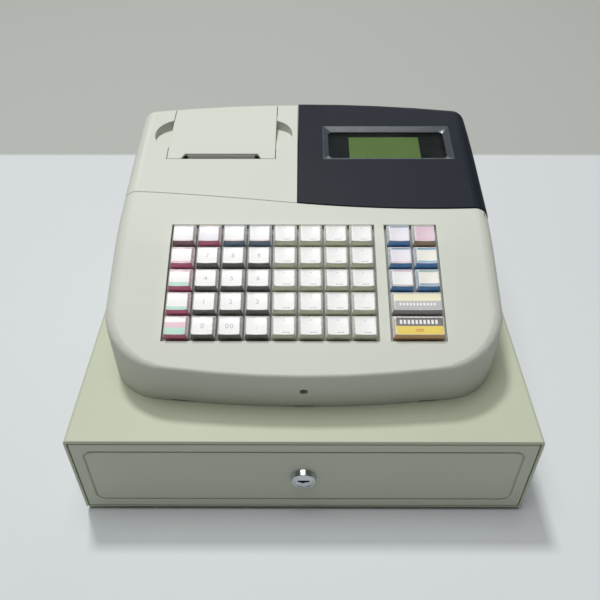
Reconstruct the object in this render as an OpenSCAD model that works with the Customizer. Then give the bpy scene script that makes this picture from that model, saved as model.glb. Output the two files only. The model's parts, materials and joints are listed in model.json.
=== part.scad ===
// Electronic ticket register on a steel cash drawer. The front faces -Y, the right side is +X and the
// feet stand on z = 0, below the middle of the footprint.

/* [Drawer case] */
// Width of the drawer case
case_w = 335; // [300:1:380]
// Depth of the drawer case
case_d = 340; // [325:1:400]
// Height of the drawer case without its feet
case_h = 82; // [80:1:100]
// Sheet thickness of the case, its base pan and the drawer box
sheet = 1; // [0.8:0.1:1.4]
// Height of the folded lip over the case's open front
rim_h = 3.2; // [2.4:0.1:4]
// Depth of the folded hem round the case's open front
rim_depth = 9; // [6:0.5:12]
// Outer bend radius of the case's long top edges
case_bend = 3; // [2:0.5:6]
// Height of the rubber feet
foot_h = 5; // [3:0.5:10]
// Radius of the rubber feet
foot_r = 9; // [6:0.5:14]

/* [Drawer] */
// Thickness of the front panel
front_t = 3; // [2:0.2:4]
// Gap between the front panel and the case rim
front_gap = 0.8; // [0.5:0.1:1.5]
// Distance from the front panel's edge to its decorative groove
groove_inset = 8; // [6:0.5:12]
// Width of the decorative groove
groove_w = 1.4; // [0.8:0.1:2.5]
// Depth of the decorative groove
groove_depth = 1.2; // [0.6:0.1:1.8]
// Corner radius of the decorative groove
groove_r = 7; // [3:0.5:12]
// Height of the drawer box's side walls
box_h = 47; // [40:1:52]
// Length of the box in front of the coin tray, where the lock and its cam stand
lock_bay = 30; // [28:1:36]
// Free space between the drawer box and the case's rear wall
rear_bay = 30; // [28:1:40]
// Radius of the runner rollers
roller_r = 7; // [6:0.5:8]
// Width of the runner rollers
roller_w = 5; // [4:0.5:6]
// Radius of the runner roller pins
roller_pin_r = 2.5; // [2:0.1:3]
// Wall thickness of the moulded cash trays
tray_wall = 2; // [1.6:0.1:3]
// Length of the coin tray from front to rear
coin_len = 84; // [70:1:95]
// Number of bill compartments
bill_count = 4; // [3:1:5]
// Number of coin cups
coin_count = 5; // [4:1:6]
// Length of the bill clips' arms
clip_arm = 112; // [90:1:125]
// Radius of the rod that carries the bill clips
clip_rod_r = 2.5; // [2:0.1:3]

/* [Lock and latch] */
// How far the lock stands out of the front panel
lock_out = 4; // [2:0.5:6]
// Height of the lock's axis above the feet
lock_z = 44.4; // [43:0.2:46]
// Radius of the lock's chromed collar
lock_collar_r = 9.8; // [9.6:0.1:12]
// Radius of the lock's turning plug
lock_plug_r = 6.9; // [6:0.1:7.4]
// Length of the lock's cam from the lock's axis to its tip
cam_len = 37; // [34.5:0.5:38]
// How far the lock's keeper hangs below the case top
keeper_drop = 11.5; // [11:0.5:12]
// Radius of the latch lever's pivot pin
latch_pin_r = 1.5; // [1.2:0.1:2]

/* [Register body] */
// Width of the register body
body_w = 290; // [280:1:300]
// Depth of the register body at its middle, from lip to rear wall
body_d = 281; // [276:1:290]
// Distance from the drawer's front to the body's front lip
body_set_back = 25; // [10:1:32]
// Height of the front lip above the drawer case
lip_h = 38.7; // [36:0.1:42]
// Slope of the keyboard deck, in degrees
deck_angle = 21.6; // [20:0.1:23]
// Slope of the covers behind the deck, in degrees
cover_angle = 9.7; // [8:0.1:12]
// Slope of the covers at the rear edge, in degrees
rear_angle = 3.5; // [2:0.1:5]
// Lean of the front face below the lip, in degrees
front_lean = 8.9; // [6:0.1:12]
// Length of the flat deck, measured from front to rear
deck_len = 93; // [91:1:97]
// Radius of the bend from the deck to the covers
deck_bend_r = 210; // [180:5:230]
// Length of the straight part of the covers
cover_len = 60; // [50:1:64]
// Radius of the bend towards the rear edge
rear_bend_r = 670; // [600:10:700]
// Radius of the bowed front and rear edges, seen from above
bow_r = 780; // [600:10:1000]
// Radius of the rolled edges along the sides and the rear
edge_r = 12; // [8:0.5:14]
// Radius of the rolled front lip
lip_r = 3; // [2.8:0.1:4]
// Corner radius of the lip, seen from above
lip_corner_r = 52; // [46:1:56]
// Corner radius of the body's foot, seen from above
foot_corner_r = 42; // [38:1:48]
// Wall thickness of the casings
wall = 2.5; // [2:0.1:2.7]
// Width of the seams between the casings
seam = 0.5; // [0.4:0.1:0.8]
// Height of the parting line at the covers' sides, above the drawer case
parting_h = 52; // [46:1:60]
// How far the display hood stands proud of the deck
hood_proud = 0.7; // [0:0.1:1.2]
// Left edge of the display hood
hood_x = -5; // [-12:0.5:0]
// Height of the base plate's pads over the drawer case
pad_h = 1; // [1:0.1:2]
// Thickness of the base plate
base_t = 2; // [1.6:0.1:3]

/* [Keyboard] */
// Distance from one key to the next
key_pitch = 19.05; // [18.5:0.05:19.5]
// Left edge of the left block of keys
keys_x = -99.7; // [-104:0.1:-96]
// Gap between the two blocks of keys
block_gap = 9.2; // [7:0.1:12]
// Distance from the lip to the front row of keys, along the deck
keys_set_back = 27.8; // [26:0.1:29]
// Clearance between the keys and the deck's openings
key_margin = 0.8; // [0.6:0.1:1.2]
// Height of the key tops above the deck
key_h = 5.5; // [4:0.1:7]
// Width of a key's top face
key_top_w = 15; // [14:0.1:16]
// Width of a key at its foot
key_foot_w = 17.6; // [17:0.1:18]
// How far a key's top stands back from the front of its cell
key_front = 1.5; // [1.2:0.1:3]
// How far a key's top stands back from the rear of its cell
key_rear = 4; // [3:0.1:5]
// Key travel
key_travel = 3; // [2:0.1:3.4]
// Width of a key's stem
stem_w = 5.6; // [5:0.1:6]

/* [Display] */
// Left edge of the display bezel
bezel_x = 15.8; // [10:0.1:20]
// Width of the display bezel
bezel_w = 110.4; // [100:0.1:114]
// From the front edge of the display bezel to the rear of the body
bezel_to_rear = 91.5; // [90:0.5:94]
// Length of the bezel along the cover
bezel_len = 46; // [42:0.5:46]
// Width of the bezel's sloping frame
bezel_frame = 5.5; // [4:0.1:7]
// Depth of the window below the cover
window_depth = 2; // [1:0.1:3]
// Thickness of the window
window_t = 1.5; // [1:0.1:2]
// Width of the liquid crystal display's view area
lcd_w = 61; // [55:0.5:70]
// Length of the liquid crystal display's view area
lcd_len = 32; // [26:0.5:34]
// Height of the customer display's window at the rear
customer_h = 20; // [16:0.5:22]
// Width of the customer display's window
customer_w = 78; // [60:1:84]

/* [Printer] */
// Centre of the printer, its paper and its flap
printer_x = -69.3; // [-72:0.1:-68]
// Width of the paper flap
flap_w = 90.5; // [86:0.5:94]
// From the front edge of the paper flap to the rear of the body
flap_to_rear = 89.2; // [88:0.1:91]
// How far the flap reaches down the rear wall, below the top edge's roll
flap_drop = 3; // [2:0.5:5]
// Width of the paper slot
slot_w = 65; // [60:0.5:70]
// Length of the paper slot from front to rear
slot_len = 6; // [5.6:0.1:7]
// Radius of the finger recesses beside the flap
recess_r = 22; // [18:0.5:23]
// Depth of the finger recesses at their rear end
recess_depth = 11; // [8:0.5:12]
// Width of the paper roll
paper_w = 57; // [54:0.5:58]
// Radius of the paper roll
paper_r = 26.6; // [20:0.1:27]
// Radius of the paper roll's core hole
core_r = 6.5; // [5:0.5:8]
// Radius of the platen roller
platen_r = 6.5; // [5.5:0.1:7]
// Radius of the platen's steel shaft
shaft_r = 2.5; // [2:0.1:3]
// Number of teeth on the platen gear
gear_teeth = 20; // [18:1:20]
// Number of teeth on the motor's pinion
pinion_teeth = 10; // [8:1:11]
// Tooth module of the printer gears
gear_module = 1; // [0.9:0.1:1]
// Radius of the flap's hinge pins
hinge_pin_r = 1.8; // [1.5:0.1:2.2]

/* [Electrics] */
// Thickness of the circuit boards
board_t = 1.6; // [1:0.1:2]
// Width of the power rocker
rocker_w = 13; // [11:0.5:15]
// Height of the power rocker
rocker_h = 19; // [17:0.5:22]

/* [Fits] */
// Radial clearance of the running shafts and pins
running = 0.05; // [0.02:0.01:0.09]
// Gap between pieces that pass or rest near each other
gap = 0.3; // [0.3:0.05:0.6]

/* [Hidden] */

$fn = 48;

// Size of the blocks that cut right past the casing
past = 200;

// Drawer case
front_y = (lock_out - case_d) / 2;
rear_y = front_y + case_d;
case_z = foot_h;
top_z = case_z + case_h;
case_in_x = case_w / 2 - sheet;
roof_z = top_z - sheet;
base_top_z = case_z + sheet;
rim = 2 * sheet;
flange_h = 10;
bracket_t = 1.2;

// Runners: a channel on each side wall, with the drawer's flange and rollers inside it
channel_web_x = case_in_x - bracket_t;
channel_in_x = channel_web_x - 7.4;
channel_z = base_top_z + 13.5;
roller_z = channel_z + gap + roller_r;
rail_z = roller_z + roller_r + gap;
rail_t = 1.5;
channel_top_z = rail_z + rail_t + 1.4;
roller_x = channel_web_x - 1.8 - roller_w;
box_x = roller_x - 2.5;
case_roller_y = front_y + 22;
channel_front_y = front_y + rim_depth + 2;
channel_rear_y = rear_y - sheet - 8;

// Drawer box
box_front_y = front_y + front_t;
box_rear_y = rear_y - rear_bay;
box_z = base_top_z + 6.5;
box_floor_z = box_z + sheet;
box_top_z = box_z + box_h;
drawer_roller_y = box_rear_y - roller_r - 3;
front_half_w = case_w / 2 - rim - front_gap;
front_bottom_z = base_top_z + front_gap;
front_top_z = top_z - rim_h - front_gap;
coin_y = front_y + lock_bay;
cash_x = box_x - sheet - gap;
cash_rear_y = box_rear_y - sheet - gap;
cash_floor_z = box_floor_z + tray_wall;
cash_top_z = box_top_z;
bill_y = coin_y + coin_len + tray_wall;
bill_rear_y = cash_rear_y - 16;
bill_pitch = (2 * cash_x - tray_wall) / bill_count;
coin_in_x = cash_x - tray_wall - gap;
coin_pitch = (2 * coin_in_x - tray_wall) / coin_count;
coin_h = 38;
clip_y = bill_rear_y - 9;
clip_z = cash_top_z - 5;
clip_hub_r = clip_rod_r + 2;
clip_w = 12;
clip_t = 2.5;
clip_foot_t = 3;
clip_fall = asin((clip_z - cash_floor_z - gap - clip_foot_t / 2) / clip_arm);

// Lock and latch
keeper_y = front_y + 19;
keeper_t = 1.5;
cam_y = keeper_y + keeper_t + 1.2;
cam_t = 2;
barrel_r = lock_plug_r + 1.9;
hook_y = rear_y - 8;
hook_z = base_top_z + 25.5;
striker_z = hook_z - 8;
striker_w = 18;
striker_len = 13;
striker_foot = 6;
striker_y = box_rear_y + 2.5;
tooth_y = striker_y + 1.2;

// Register body: profile of the top along the depth, from the lip
half_w = body_w / 2;
lip_y = front_y + body_set_back;
lip_z = top_z + lip_h;
body_rear_y = lip_y + body_d;
deck_end_y = lip_y + deck_len;
bend_y = deck_end_y + deck_bend_r * (sin(deck_angle) - sin(cover_angle));
cover_end_y = bend_y + cover_len;
rear_bend_end_y = cover_end_y + rear_bend_r * (sin(cover_angle) - sin(rear_angle));
function slope(y) =
    y < deck_end_y ? deck_angle
    : y < bend_y ? asin(sin(deck_angle) - (y - deck_end_y) / deck_bend_r)
    : y < cover_end_y ? cover_angle
    : y < rear_bend_end_y ? asin(sin(cover_angle) - (y - cover_end_y) / rear_bend_r)
    : rear_angle;
deck_end_z = lip_z + deck_len * tan(deck_angle);
bend_z = deck_end_z + deck_bend_r * (cos(cover_angle) - cos(deck_angle));
cover_end_z = bend_z + cover_len * tan(cover_angle);
rear_bend_z = cover_end_z + rear_bend_r * (cos(rear_angle) - cos(cover_angle));
function top(y) =
    y < deck_end_y ? lip_z + (y - lip_y) * tan(deck_angle)
    : y < bend_y ? deck_end_z + deck_bend_r * (cos(slope(y)) - cos(deck_angle))
    : y < cover_end_y ? bend_z + (y - bend_y) * tan(cover_angle)
    : y < rear_bend_end_y ? cover_end_z + rear_bend_r * (cos(slope(y)) - cos(cover_angle))
    : rear_bend_z + (y - rear_bend_end_y) * tan(rear_angle);
function bow(x) = bow_r - sqrt(bow_r * bow_r - x * x);
// Where a ball of radius r touches both the deck and the leaning front face
lip_in = (cos(deck_angle) + sin(front_lean)) / cos(deck_angle - front_lean);
function under(y, r) = top(y) - r / cos(slope(y));
lip_corner_x = half_w - lip_corner_r;
lip_corner_y = lip_y + bow(lip_corner_x) + lip_corner_r;
foot_half_w = half_w - 1;
foot_y = lip_y + lip_h * tan(front_lean);
foot_corner_x = foot_half_w - foot_corner_r;
foot_corner_y = foot_y + bow(foot_corner_x) + foot_corner_r;
foot_edge_r = 4;
rear_corner_y = body_rear_y - bow(half_w - edge_r) - edge_r;
lip_xs = [for (i = [0:3]) lip_corner_x * i / 3];
rear_xs = [for (i = [0:4]) (half_w - edge_r) * i / 4];
corner_turns = [for (i = [1:7]) i * 11.25];
side_ys = concat([lip_corner_y, deck_end_y],
                 [for (i = [1:3]) deck_end_y + i * (bend_y - deck_end_y) / 4],
                 [bend_y, cover_end_y],
                 [for (i = [1:2]) cover_end_y + i * (rear_corner_y - cover_end_y) / 3]);

// Covers: the seam slants from the left side to the hood and runs in a flat arc on to the right side
seam_left_y = bend_y + 17.7;
seam_hood_y = bend_y + 4;
seam_right_y = bend_y - 1.1;
seam_sag = 3.2;
function seam_y(x) =
    let(u = max(0, x + half_w) / (hood_x + half_w), v = (x - hood_x) / (half_w - hood_x))
    x < hood_x ? seam_left_y + (seam_hood_y - seam_left_y) * pow(u, 1.3)
               : seam_hood_y + (seam_right_y - seam_hood_y) * v - seam_sag * (1 - pow(2 * v - 1, 2));
parting_z = top_z + parting_h;

// Keyboard
deck_skin = wall;
frame_top = -deck_skin - key_travel - 1;
frame_t = 2;
frame_margin = 3.5;
frame_wall = 1.8;
board_margin = 2;
switch_w = 14;
switch_h = 9;
key_skirt = 3;
stem_len = 9;
left_cols = 8;
key_rows = 5;
right_keys_x = keys_x + left_cols * key_pitch + block_gap;
right_cols = 2;
keys_w = right_keys_x + right_cols * key_pitch - keys_x;
stem_gap = 0.3;
board_top = frame_top - frame_t - switch_h;
bend_t = deck_len / cos(deck_angle);
frame_rear_y = lip_y + (keys_set_back + key_rows * key_pitch + frame_margin) * cos(deck_angle);
bend_drop = (lip_z + (frame_rear_y - lip_y) * tan(deck_angle) - top(frame_rear_y)) * cos(deck_angle) + 0.4;

// Display
bezel_y = body_rear_y - bezel_to_rear;
bezel_turn = cover_angle - 1.2;
bezel_top = hood_proud + 0.2;
customer_x = 71;
customer_z = top_z + 77;
customer_depth = 12;

// Printer
flap_y = body_rear_y - flap_to_rear;
flap_x0 = printer_x - flap_w / 2;
flap_x1 = printer_x + flap_w / 2;
flap_low_z = top(body_rear_y) - edge_r - flap_drop;
hinge_y = body_rear_y - 18;
hinge_z = flap_low_z - 17;
lug_t = 4;
lug_in = 3;
sweep_gap = 3.5;
recess_y = flap_y + 33;
recess_x = flap_w / 2 - 7.9;
paper_y = flap_y + 50;
paper_z = top(paper_y) - wall - paper_r - 10;
platen_y = flap_y + 10;
platen_z = top(platen_y) - wall - (gear_teeth / 2 + 1) * gear_module - 1.2;
plate_t = 2.5;
plate_x = paper_w / 2 + 2 + plate_t;
frame_low_z = top_z + pad_h + base_t;
gear_pitch_r = gear_teeth * gear_module / 2;
pinion_pitch_r = pinion_teeth * gear_module / 2;
gear_w = 4;
pinion_y = platen_y;
pinion_z = platen_z - gear_pitch_r - pinion_pitch_r;
motor_r = 7.5;
motor_len = 18;
motor_shaft_r = 1.5;
trough_gap = 0.4;
trough_t = 2;

// Electrics
main_board_z = frame_low_z + 9;
rear_in_y = body_rear_y - wall;
socket_z = main_board_z + board_t;
board_x = -30;
board_w = 140;
board_y = body_rear_y - 151;
board_d = rear_in_y - board_y - 9;
post_in = 6;
chip_w = 28;
chip_h = 3;
can_h = 22;
jack_x = 38;
power_x = 60;
serial_x = 88;
rocker_x = -112;
rocker_z = top_z + 30;
rocker_pin_r = 1.2;
rocker_pivot_y = body_rear_y - bow(rocker_x) - 5;
rocker_tip = rocker_h / 2 - 0.9;
front_screw_z = top_z + 20;

// Screws
screw_r = 1.5;
head_r = 3;
head_h = sheet - 0.1;
side_screw_ys = [front_y + 50, front_y + case_d / 2, rear_y - 50];

// Steps to a named place
module on_deck() {
    translate([0, lip_y, lip_z])
        rotate([deck_angle, 0, 0])
            children();
}
module at_lock() {
    translate([0, front_y, lock_z])
        rotate([90, 0, 0])
            children();
}
module across(x, y, z, length) {
    translate([x, y, z])
        rotate([0, 90, 0])
            cylinder(h = length, r = $r);
}
module both_sides() {
    children();
    mirror([1, 0, 0]) children();
}
// A square with true round corners, centred on x and standing on y = 0
module rounded_plate(w, h, r) {
    translate([-w / 2 + r, 0]) square([w - 2 * r, h]);
    translate([-w / 2, r]) square([w, h - 2 * r]);
    for (x = [-w / 2 + r, w / 2 - r], y = [r, h - r]) translate([x, y]) circle(r);
}

// Drawer case

module rubber_feet() {
    color("#2b2b2b")
        both_sides()
            for (y = [front_y + 30, rear_y - 30])
                translate([case_w / 2 - 28, y, 0])
                    cylinder(h = foot_h, r1 = foot_r - 1, r2 = foot_r);
}

module case_base() {
    color("#b9bbab") {
        difference() {
            union() {
                translate([-case_in_x, front_y, case_z]) cube([2 * case_in_x, case_d - sheet, sheet]);
                both_sides()
                    translate([case_in_x - sheet, front_y + rim_depth + 1, base_top_z])
                        cube([sheet, case_d - sheet - rim_depth - 1, flange_h]);
            }
            screw_shanks();
        }
    }
}

module case_profile() {
    translate([0, case_z]) {
        translate([-case_w / 2, 0]) square([case_w, case_h - case_bend]);
        translate([-case_w / 2 + case_bend, 0]) square([case_w - 2 * case_bend, case_h]);
        for (x = [-case_w / 2 + case_bend, case_w / 2 - case_bend])
            translate([x, case_h - case_bend]) circle(case_bend);
    }
}

module drawer_case() {
    color("#c6c9b6")
        difference() {
            union() {
                difference() {
                    translate([0, rear_y, 0]) rotate([90, 0, 0]) linear_extrude(case_d) case_profile();
                    translate([-case_in_x, front_y - 1, case_z - 1])
                        cube([2 * case_in_x, case_d - sheet + 1, case_h - sheet + 1]);
                }
                // Folded rim round the open front
                both_sides()
                    translate([case_w / 2 - rim, front_y, base_top_z])
                        cube([rim - sheet, rim_depth, case_h - 2 * sheet]);
                translate([-case_in_x, front_y, top_z - rim_h]) cube([2 * case_in_x, rim_depth, rim_h - sheet]);
                // Keeper for the lock's cam
                translate([-9, keeper_y, roof_z - keeper_drop]) cube([18, keeper_t, keeper_drop]);
            }
            screw_shanks();
            screw_heads();
        }
}

module case_runners() {
    color("#a9adb0")
        both_sides()
            difference() {
                union() {
                    translate([channel_web_x, channel_front_y, channel_z - bracket_t])
                        cube([bracket_t, channel_rear_y - channel_front_y,
                              channel_top_z - channel_z + 2 * bracket_t]);
                    for (z = [channel_z - bracket_t, channel_top_z])
                        translate([channel_in_x, channel_front_y, z])
                            cube([case_in_x - channel_in_x, channel_rear_y - channel_front_y, bracket_t]);
                    across(roller_x - 0.6, case_roller_y, roller_z, channel_web_x - roller_x + 0.6,
                           $r = roller_pin_r);
                    across(roller_x + roller_w + gap, case_roller_y, roller_z,
                           channel_web_x - roller_x - roller_w - gap, $r = roller_pin_r + 1.4);
                }
            }
}

module roller(y) {
    difference() {
        across(roller_x, y, roller_z, roller_w, $r = roller_r);
        across(roller_x - 1, y, roller_z, roller_w + 2, $r = roller_pin_r + running);
        // Moulded ring groove in the roller's inner face
        difference() {
            across(roller_x - 1, y, roller_z, 2, $r = roller_r - 1.3);
            across(roller_x - 2, y, roller_z, 4, $r = roller_pin_r + 1.2);
        }
    }
}

module case_rollers() {
    color("#e6e4da") both_sides() roller(case_roller_y);
}

module drawer_rollers() {
    color("#e6e4da") both_sides() roller(drawer_roller_y);
}

module drawer_latch() {
    color("#8d9296")
        difference() {
            union() {
                // Bracket and solenoid
                translate([-22, hook_y - 8, base_top_z]) cube([44, 14, sheet]);
                translate([-18, hook_y - 6, base_top_z + sheet]) cube([36, 11, 12]);
                for (x = [-9, 7.5])
                    translate([x, hook_y - 4, base_top_z + sheet + 12])
                        cube([1.5, 8, hook_z - base_top_z - sheet - 12 + 4]);
            }
            across(-12, hook_y, hook_z, 24, $r = latch_pin_r + running);
        }
}

module latch_hook() {
    color("#70757a") {
        across(-9.4, hook_y, hook_z, 18.8, $r = latch_pin_r);
        translate([0, hook_y, hook_z]) {
            rotate([0, 90, 0]) translate([0, 0, -5]) cylinder(h = 10, r = latch_pin_r + 2);
            translate([-4, tooth_y - hook_y, -2.5]) cube([8, hook_y - tooth_y, 3]);
            translate([-4, tooth_y - hook_y, -6]) cube([8, 2.4, 4]);
        }
    }
}

// Drawer

module drawer_tray() {
    color("#b4b7a8")
        difference() {
            union() {
                difference() {
                    translate([-box_x, box_front_y, box_z])
                        cube([2 * box_x, box_rear_y - box_front_y, box_h]);
                    translate([-box_x + sheet, box_front_y + sheet, box_floor_z])
                        cube([2 * (box_x - sheet), box_rear_y - box_front_y - 2 * sheet, box_h]);
                }
                both_sides() {
                    translate([box_x, front_y + rim_depth + 4, rail_z])
                        cube([channel_web_x - 1.5 - box_x, box_rear_y - front_y - rim_depth - 4, rail_t]);
                    across(box_x, drawer_roller_y, roller_z, roller_x + roller_w + 0.6 - box_x,
                           $r = roller_pin_r);
                    across(box_x, drawer_roller_y, roller_z, roller_x - gap - box_x, $r = roller_pin_r + 1.4);
                }
            }
            at_lock() translate([0, 0, -front_t - sheet - 1]) cylinder(h = sheet + 2, r = barrel_r + 0.1);
        }
}

module groove_line(inset) {
    w = 2 * (front_half_w - groove_inset - inset);
    h = front_top_z - front_bottom_z - 2 * (groove_inset + inset);
    translate([0, groove_inset + inset]) rounded_plate(w, h, groove_r - inset);
}

module drawer_front() {
    color("#8b917f")
        difference() {
            translate([0, front_y + front_t, front_bottom_z])
                rotate([90, 0, 0])
                    linear_extrude(front_t)
                        rounded_plate(2 * front_half_w, front_top_z - front_bottom_z, 1.5);
            translate([0, front_y + groove_depth, front_bottom_z])
                rotate([90, 0, 0])
                    linear_extrude(groove_depth + 1)
                        difference() {
                            groove_line(0);
                            groove_line(groove_w);
                        }
            at_lock() translate([0, 0, -front_t - 1]) cylinder(h = front_t + 2, r = barrel_r + 0.1);
        }
}

module cash_tray() {
    color("#3c3f42")
        difference() {
            translate([-cash_x, coin_y, box_floor_z])
                cube([2 * cash_x, cash_rear_y - coin_y, cash_top_z - box_floor_z]);
            // Seat of the coin tray
            translate([-cash_x + tray_wall, coin_y + tray_wall, cash_floor_z])
                cube([2 * (cash_x - tray_wall), coin_len - tray_wall, box_h]);
            // Bill compartments
            for (i = [0 : bill_count - 1])
                translate([-cash_x + tray_wall + i * bill_pitch, bill_y, cash_floor_z])
                    cube([bill_pitch - tray_wall, bill_rear_y - bill_y, box_h]);
            // Space behind the bill compartments
            translate([-cash_x + tray_wall, bill_rear_y + tray_wall, cash_floor_z])
                cube([2 * (cash_x - tray_wall), cash_rear_y - bill_rear_y - 2 * tray_wall, box_h]);
            across(-cash_x - 1, clip_y, clip_z, 2 * cash_x + 2, $r = clip_rod_r + running);
        }
}

// Cross-section of a coin cup: round below, open above
module cup_section(r, h) {
    intersection() {
        union() {
            translate([0, r]) circle(r, $fn = 96);
            translate([-r, r]) square([2 * r, h]);
        }
        translate([-r, 0]) square([2 * r, h]);
    }
}

module coin_tray() {
    coin_d = coin_len - tray_wall - 2 * gap;
    cup_r = coin_d / 2 - tray_wall;
    color("#45484b")
        translate([-coin_in_x, coin_y + tray_wall + gap + coin_d / 2, cash_floor_z])
            difference() {
                // Scooped shell with a skirt along its front and rear
                rotate([90, 0, 90])
                    linear_extrude(2 * coin_in_x) {
                        cup_section(cup_r + tray_wall, coin_h);
                        for (y = [-coin_d / 2, coin_d / 2 - tray_wall])
                            translate([y, 0]) square([tray_wall, coin_h]);
                    }
                for (i = [0 : coin_count - 1])
                    translate([tray_wall + i * coin_pitch, 0, tray_wall])
                        rotate([90, 0, 90])
                            linear_extrude(coin_pitch - tray_wall)
                                cup_section(cup_r, coin_h);
            }
}

// Rod of the bill clips, and the latch's striker riveted to the rear wall of the drawer
module drawer_fittings() {
    color("#b7bcc0") {
        across(-cash_x, clip_y, clip_z, 2 * cash_x, $r = clip_rod_r);
        difference() {
            union() {
                translate([-striker_w / 2, box_rear_y, striker_z]) cube([striker_w, striker_len, sheet]);
                translate([-striker_w / 2, box_rear_y, striker_z - striker_foot])
                    cube([striker_w, sheet, striker_foot + sheet]);
                for (x = [-striker_w / 3, striker_w / 3])
                    translate([x, box_rear_y + sheet / 2, striker_z - striker_foot / 2])
                        rotate([-90, 0, 0]) cylinder(h = sheet, r = striker_foot / 4);
            }
            translate([-striker_w / 2 + 3.5, striker_y, striker_z - 1])
                cube([striker_w - 7, striker_len - 5, sheet + 2]);
        }
    }
}

module bill_clips() {
    color("#2f3133")
        for (i = [0 : bill_count - 1])
            translate([-cash_x + tray_wall + (i + 0.5) * bill_pitch - tray_wall / 2, clip_y, clip_z])
                difference() {
                    union() {
                        across(-clip_w / 2, 0, 0, clip_w, $r = clip_hub_r);
                        rotate([clip_fall, 0, 0]) {
                            translate([-clip_w / 2, -clip_arm, -clip_t / 2]) cube([clip_w, clip_arm, clip_t]);
                        }
                        translate([-15, -clip_arm * cos(clip_fall) - 6, -clip_arm * sin(clip_fall)
                                   - clip_foot_t / 2])
                            cube([30, 14, clip_foot_t]);
                    }
                    across(-clip_w, 0, 0, 2 * clip_w, $r = clip_rod_r + running);
                }
}

// Lock

module lock_barrel() {
    color("#c9cdd0")
        at_lock()
            difference() {
                union() {
                    cylinder(h = lock_out, r1 = lock_collar_r, r2 = lock_collar_r - 1.4);
                    translate([0, 0, -17]) cylinder(h = 17, r = barrel_r);
                    // Retaining nut behind the drawer box's front wall
                    translate([0, 0, -front_t - sheet - 4]) cylinder(h = 4, r = barrel_r + 3.4, $fn = 6);
                }
                translate([0, 0, -18]) cylinder(h = 18 + lock_out + 1, r = lock_plug_r + running);
            }
}

module lock_cylinder() {
    color("#dadcdd")
        at_lock()
            difference() {
                union() {
                    translate([0, 0, -(cam_y - front_y) + gap]) {
                        cylinder(h = cam_y - front_y - gap + lock_out - 0.4, r = lock_plug_r);
                    }
                    translate([0, 0, -(cam_y - front_y) - cam_t - 1.5])
                        cylinder(h = cam_t + 1.5 + gap + 1, r = 3);
                }
                // Keyway
                translate([-4.2, -1, lock_out - 6]) cube([8.4, 2, 8]);
                translate([-2, -2.2, lock_out - 6]) cube([3, 2.2, 8]);
            }
}

module lock_cam() {
    color("#9aa0a4")
        translate([0, cam_y + cam_t, lock_z])
            rotate([90, 0, 0])
                linear_extrude(cam_t)
                    difference() {
                        union() {
                            circle(7);
                            translate([0, -5]) square([cam_len - 5, 10]);
                            translate([cam_len - 5, 0]) circle(5);
                        }
                        circle(3 + 0.02);
                    }
}

// Register body

// The solid form of the body, grown inwards by inset. Its top is the deck and the covers in one sweep.
module body_form(inset, sink = 0) {
    hull()
        both_sides() {
            // Front lip and its corners
            for (x = lip_xs) {
                y = lip_y + bow(x) + lip_in * lip_r;
                translate([x, y, under(y, lip_r)]) sphere(lip_r - inset, $fn = 20);
            }
            for (turn = corner_turns) {
                r = lip_r + (edge_r - lip_r) * turn / 90;
                y = lip_corner_y - (lip_corner_r - r * lip_in) * cos(turn);
                translate([lip_corner_x + (lip_corner_r - r) * sin(turn), y, under(y, r)])
                    sphere(r - inset, $fn = 20);
            }
            // Rolled side edges
            for (y = side_ys)
                translate([half_w - edge_r, y, under(y, edge_r)]) sphere(edge_r - inset, $fn = 28);
            // Rolled rear edge, and its outline on the drawer case
            for (x = rear_xs) {
                y = body_rear_y - bow(x) - edge_r;
                translate([x, y, under(y, edge_r)]) sphere(edge_r - inset, $fn = 28);
                translate([x, y, top_z - sink]) cylinder(h = 1 + sink, r = edge_r - inset, $fn = 28);
            }
            // Front outline on the drawer case
            for (x = lip_xs)
                translate([x, foot_y + bow(x) + foot_edge_r, top_z - sink])
                    cylinder(h = 1 + sink, r = foot_edge_r - inset, $fn = 20);
            for (turn = concat([0], corner_turns, [90]))
                translate([foot_corner_x + (foot_corner_r - foot_edge_r) * sin(turn),
                           foot_corner_y - (foot_corner_r - foot_edge_r) * cos(turn), top_z - sink])
                    cylinder(h = 1 + sink, r = foot_edge_r - inset, $fn = 20);
        }
}

// Everything behind the seam and above the parting line, grown by g all round
module cover_zone(x0, x1, g) {
    steps = 16;
    translate([0, 0, parting_z - g])
        linear_extrude(past)
            polygon(concat(
                [for (i = [0 : steps]) let(x = x0 + (x1 - x0) * i / steps) [x, seam_y(x) - g]],
                [[x1, body_rear_y + 20], [x0, body_rear_y + 20]]));
}

module key_openings() {
    on_deck()
        for (block = [[keys_x, left_cols], [right_keys_x, right_cols]])
            translate([block[0] - key_margin, keys_set_back - key_margin - 0.3, -deck_skin - 8])
                cube([block[1] * key_pitch + 2 * key_margin, key_rows * key_pitch + 2 * key_margin + 0.6,
                      deck_skin + 16]);
}

module rear_cutouts() {
    for (cut = [[jack_x, 14, 14], [power_x, 12, 14], [serial_x, 33, 15]])
        translate([cut[0] - cut[1] / 2, body_rear_y - 30, socket_z - 0.6])
            cube([cut[1], 40, cut[2]]);
}

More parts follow.
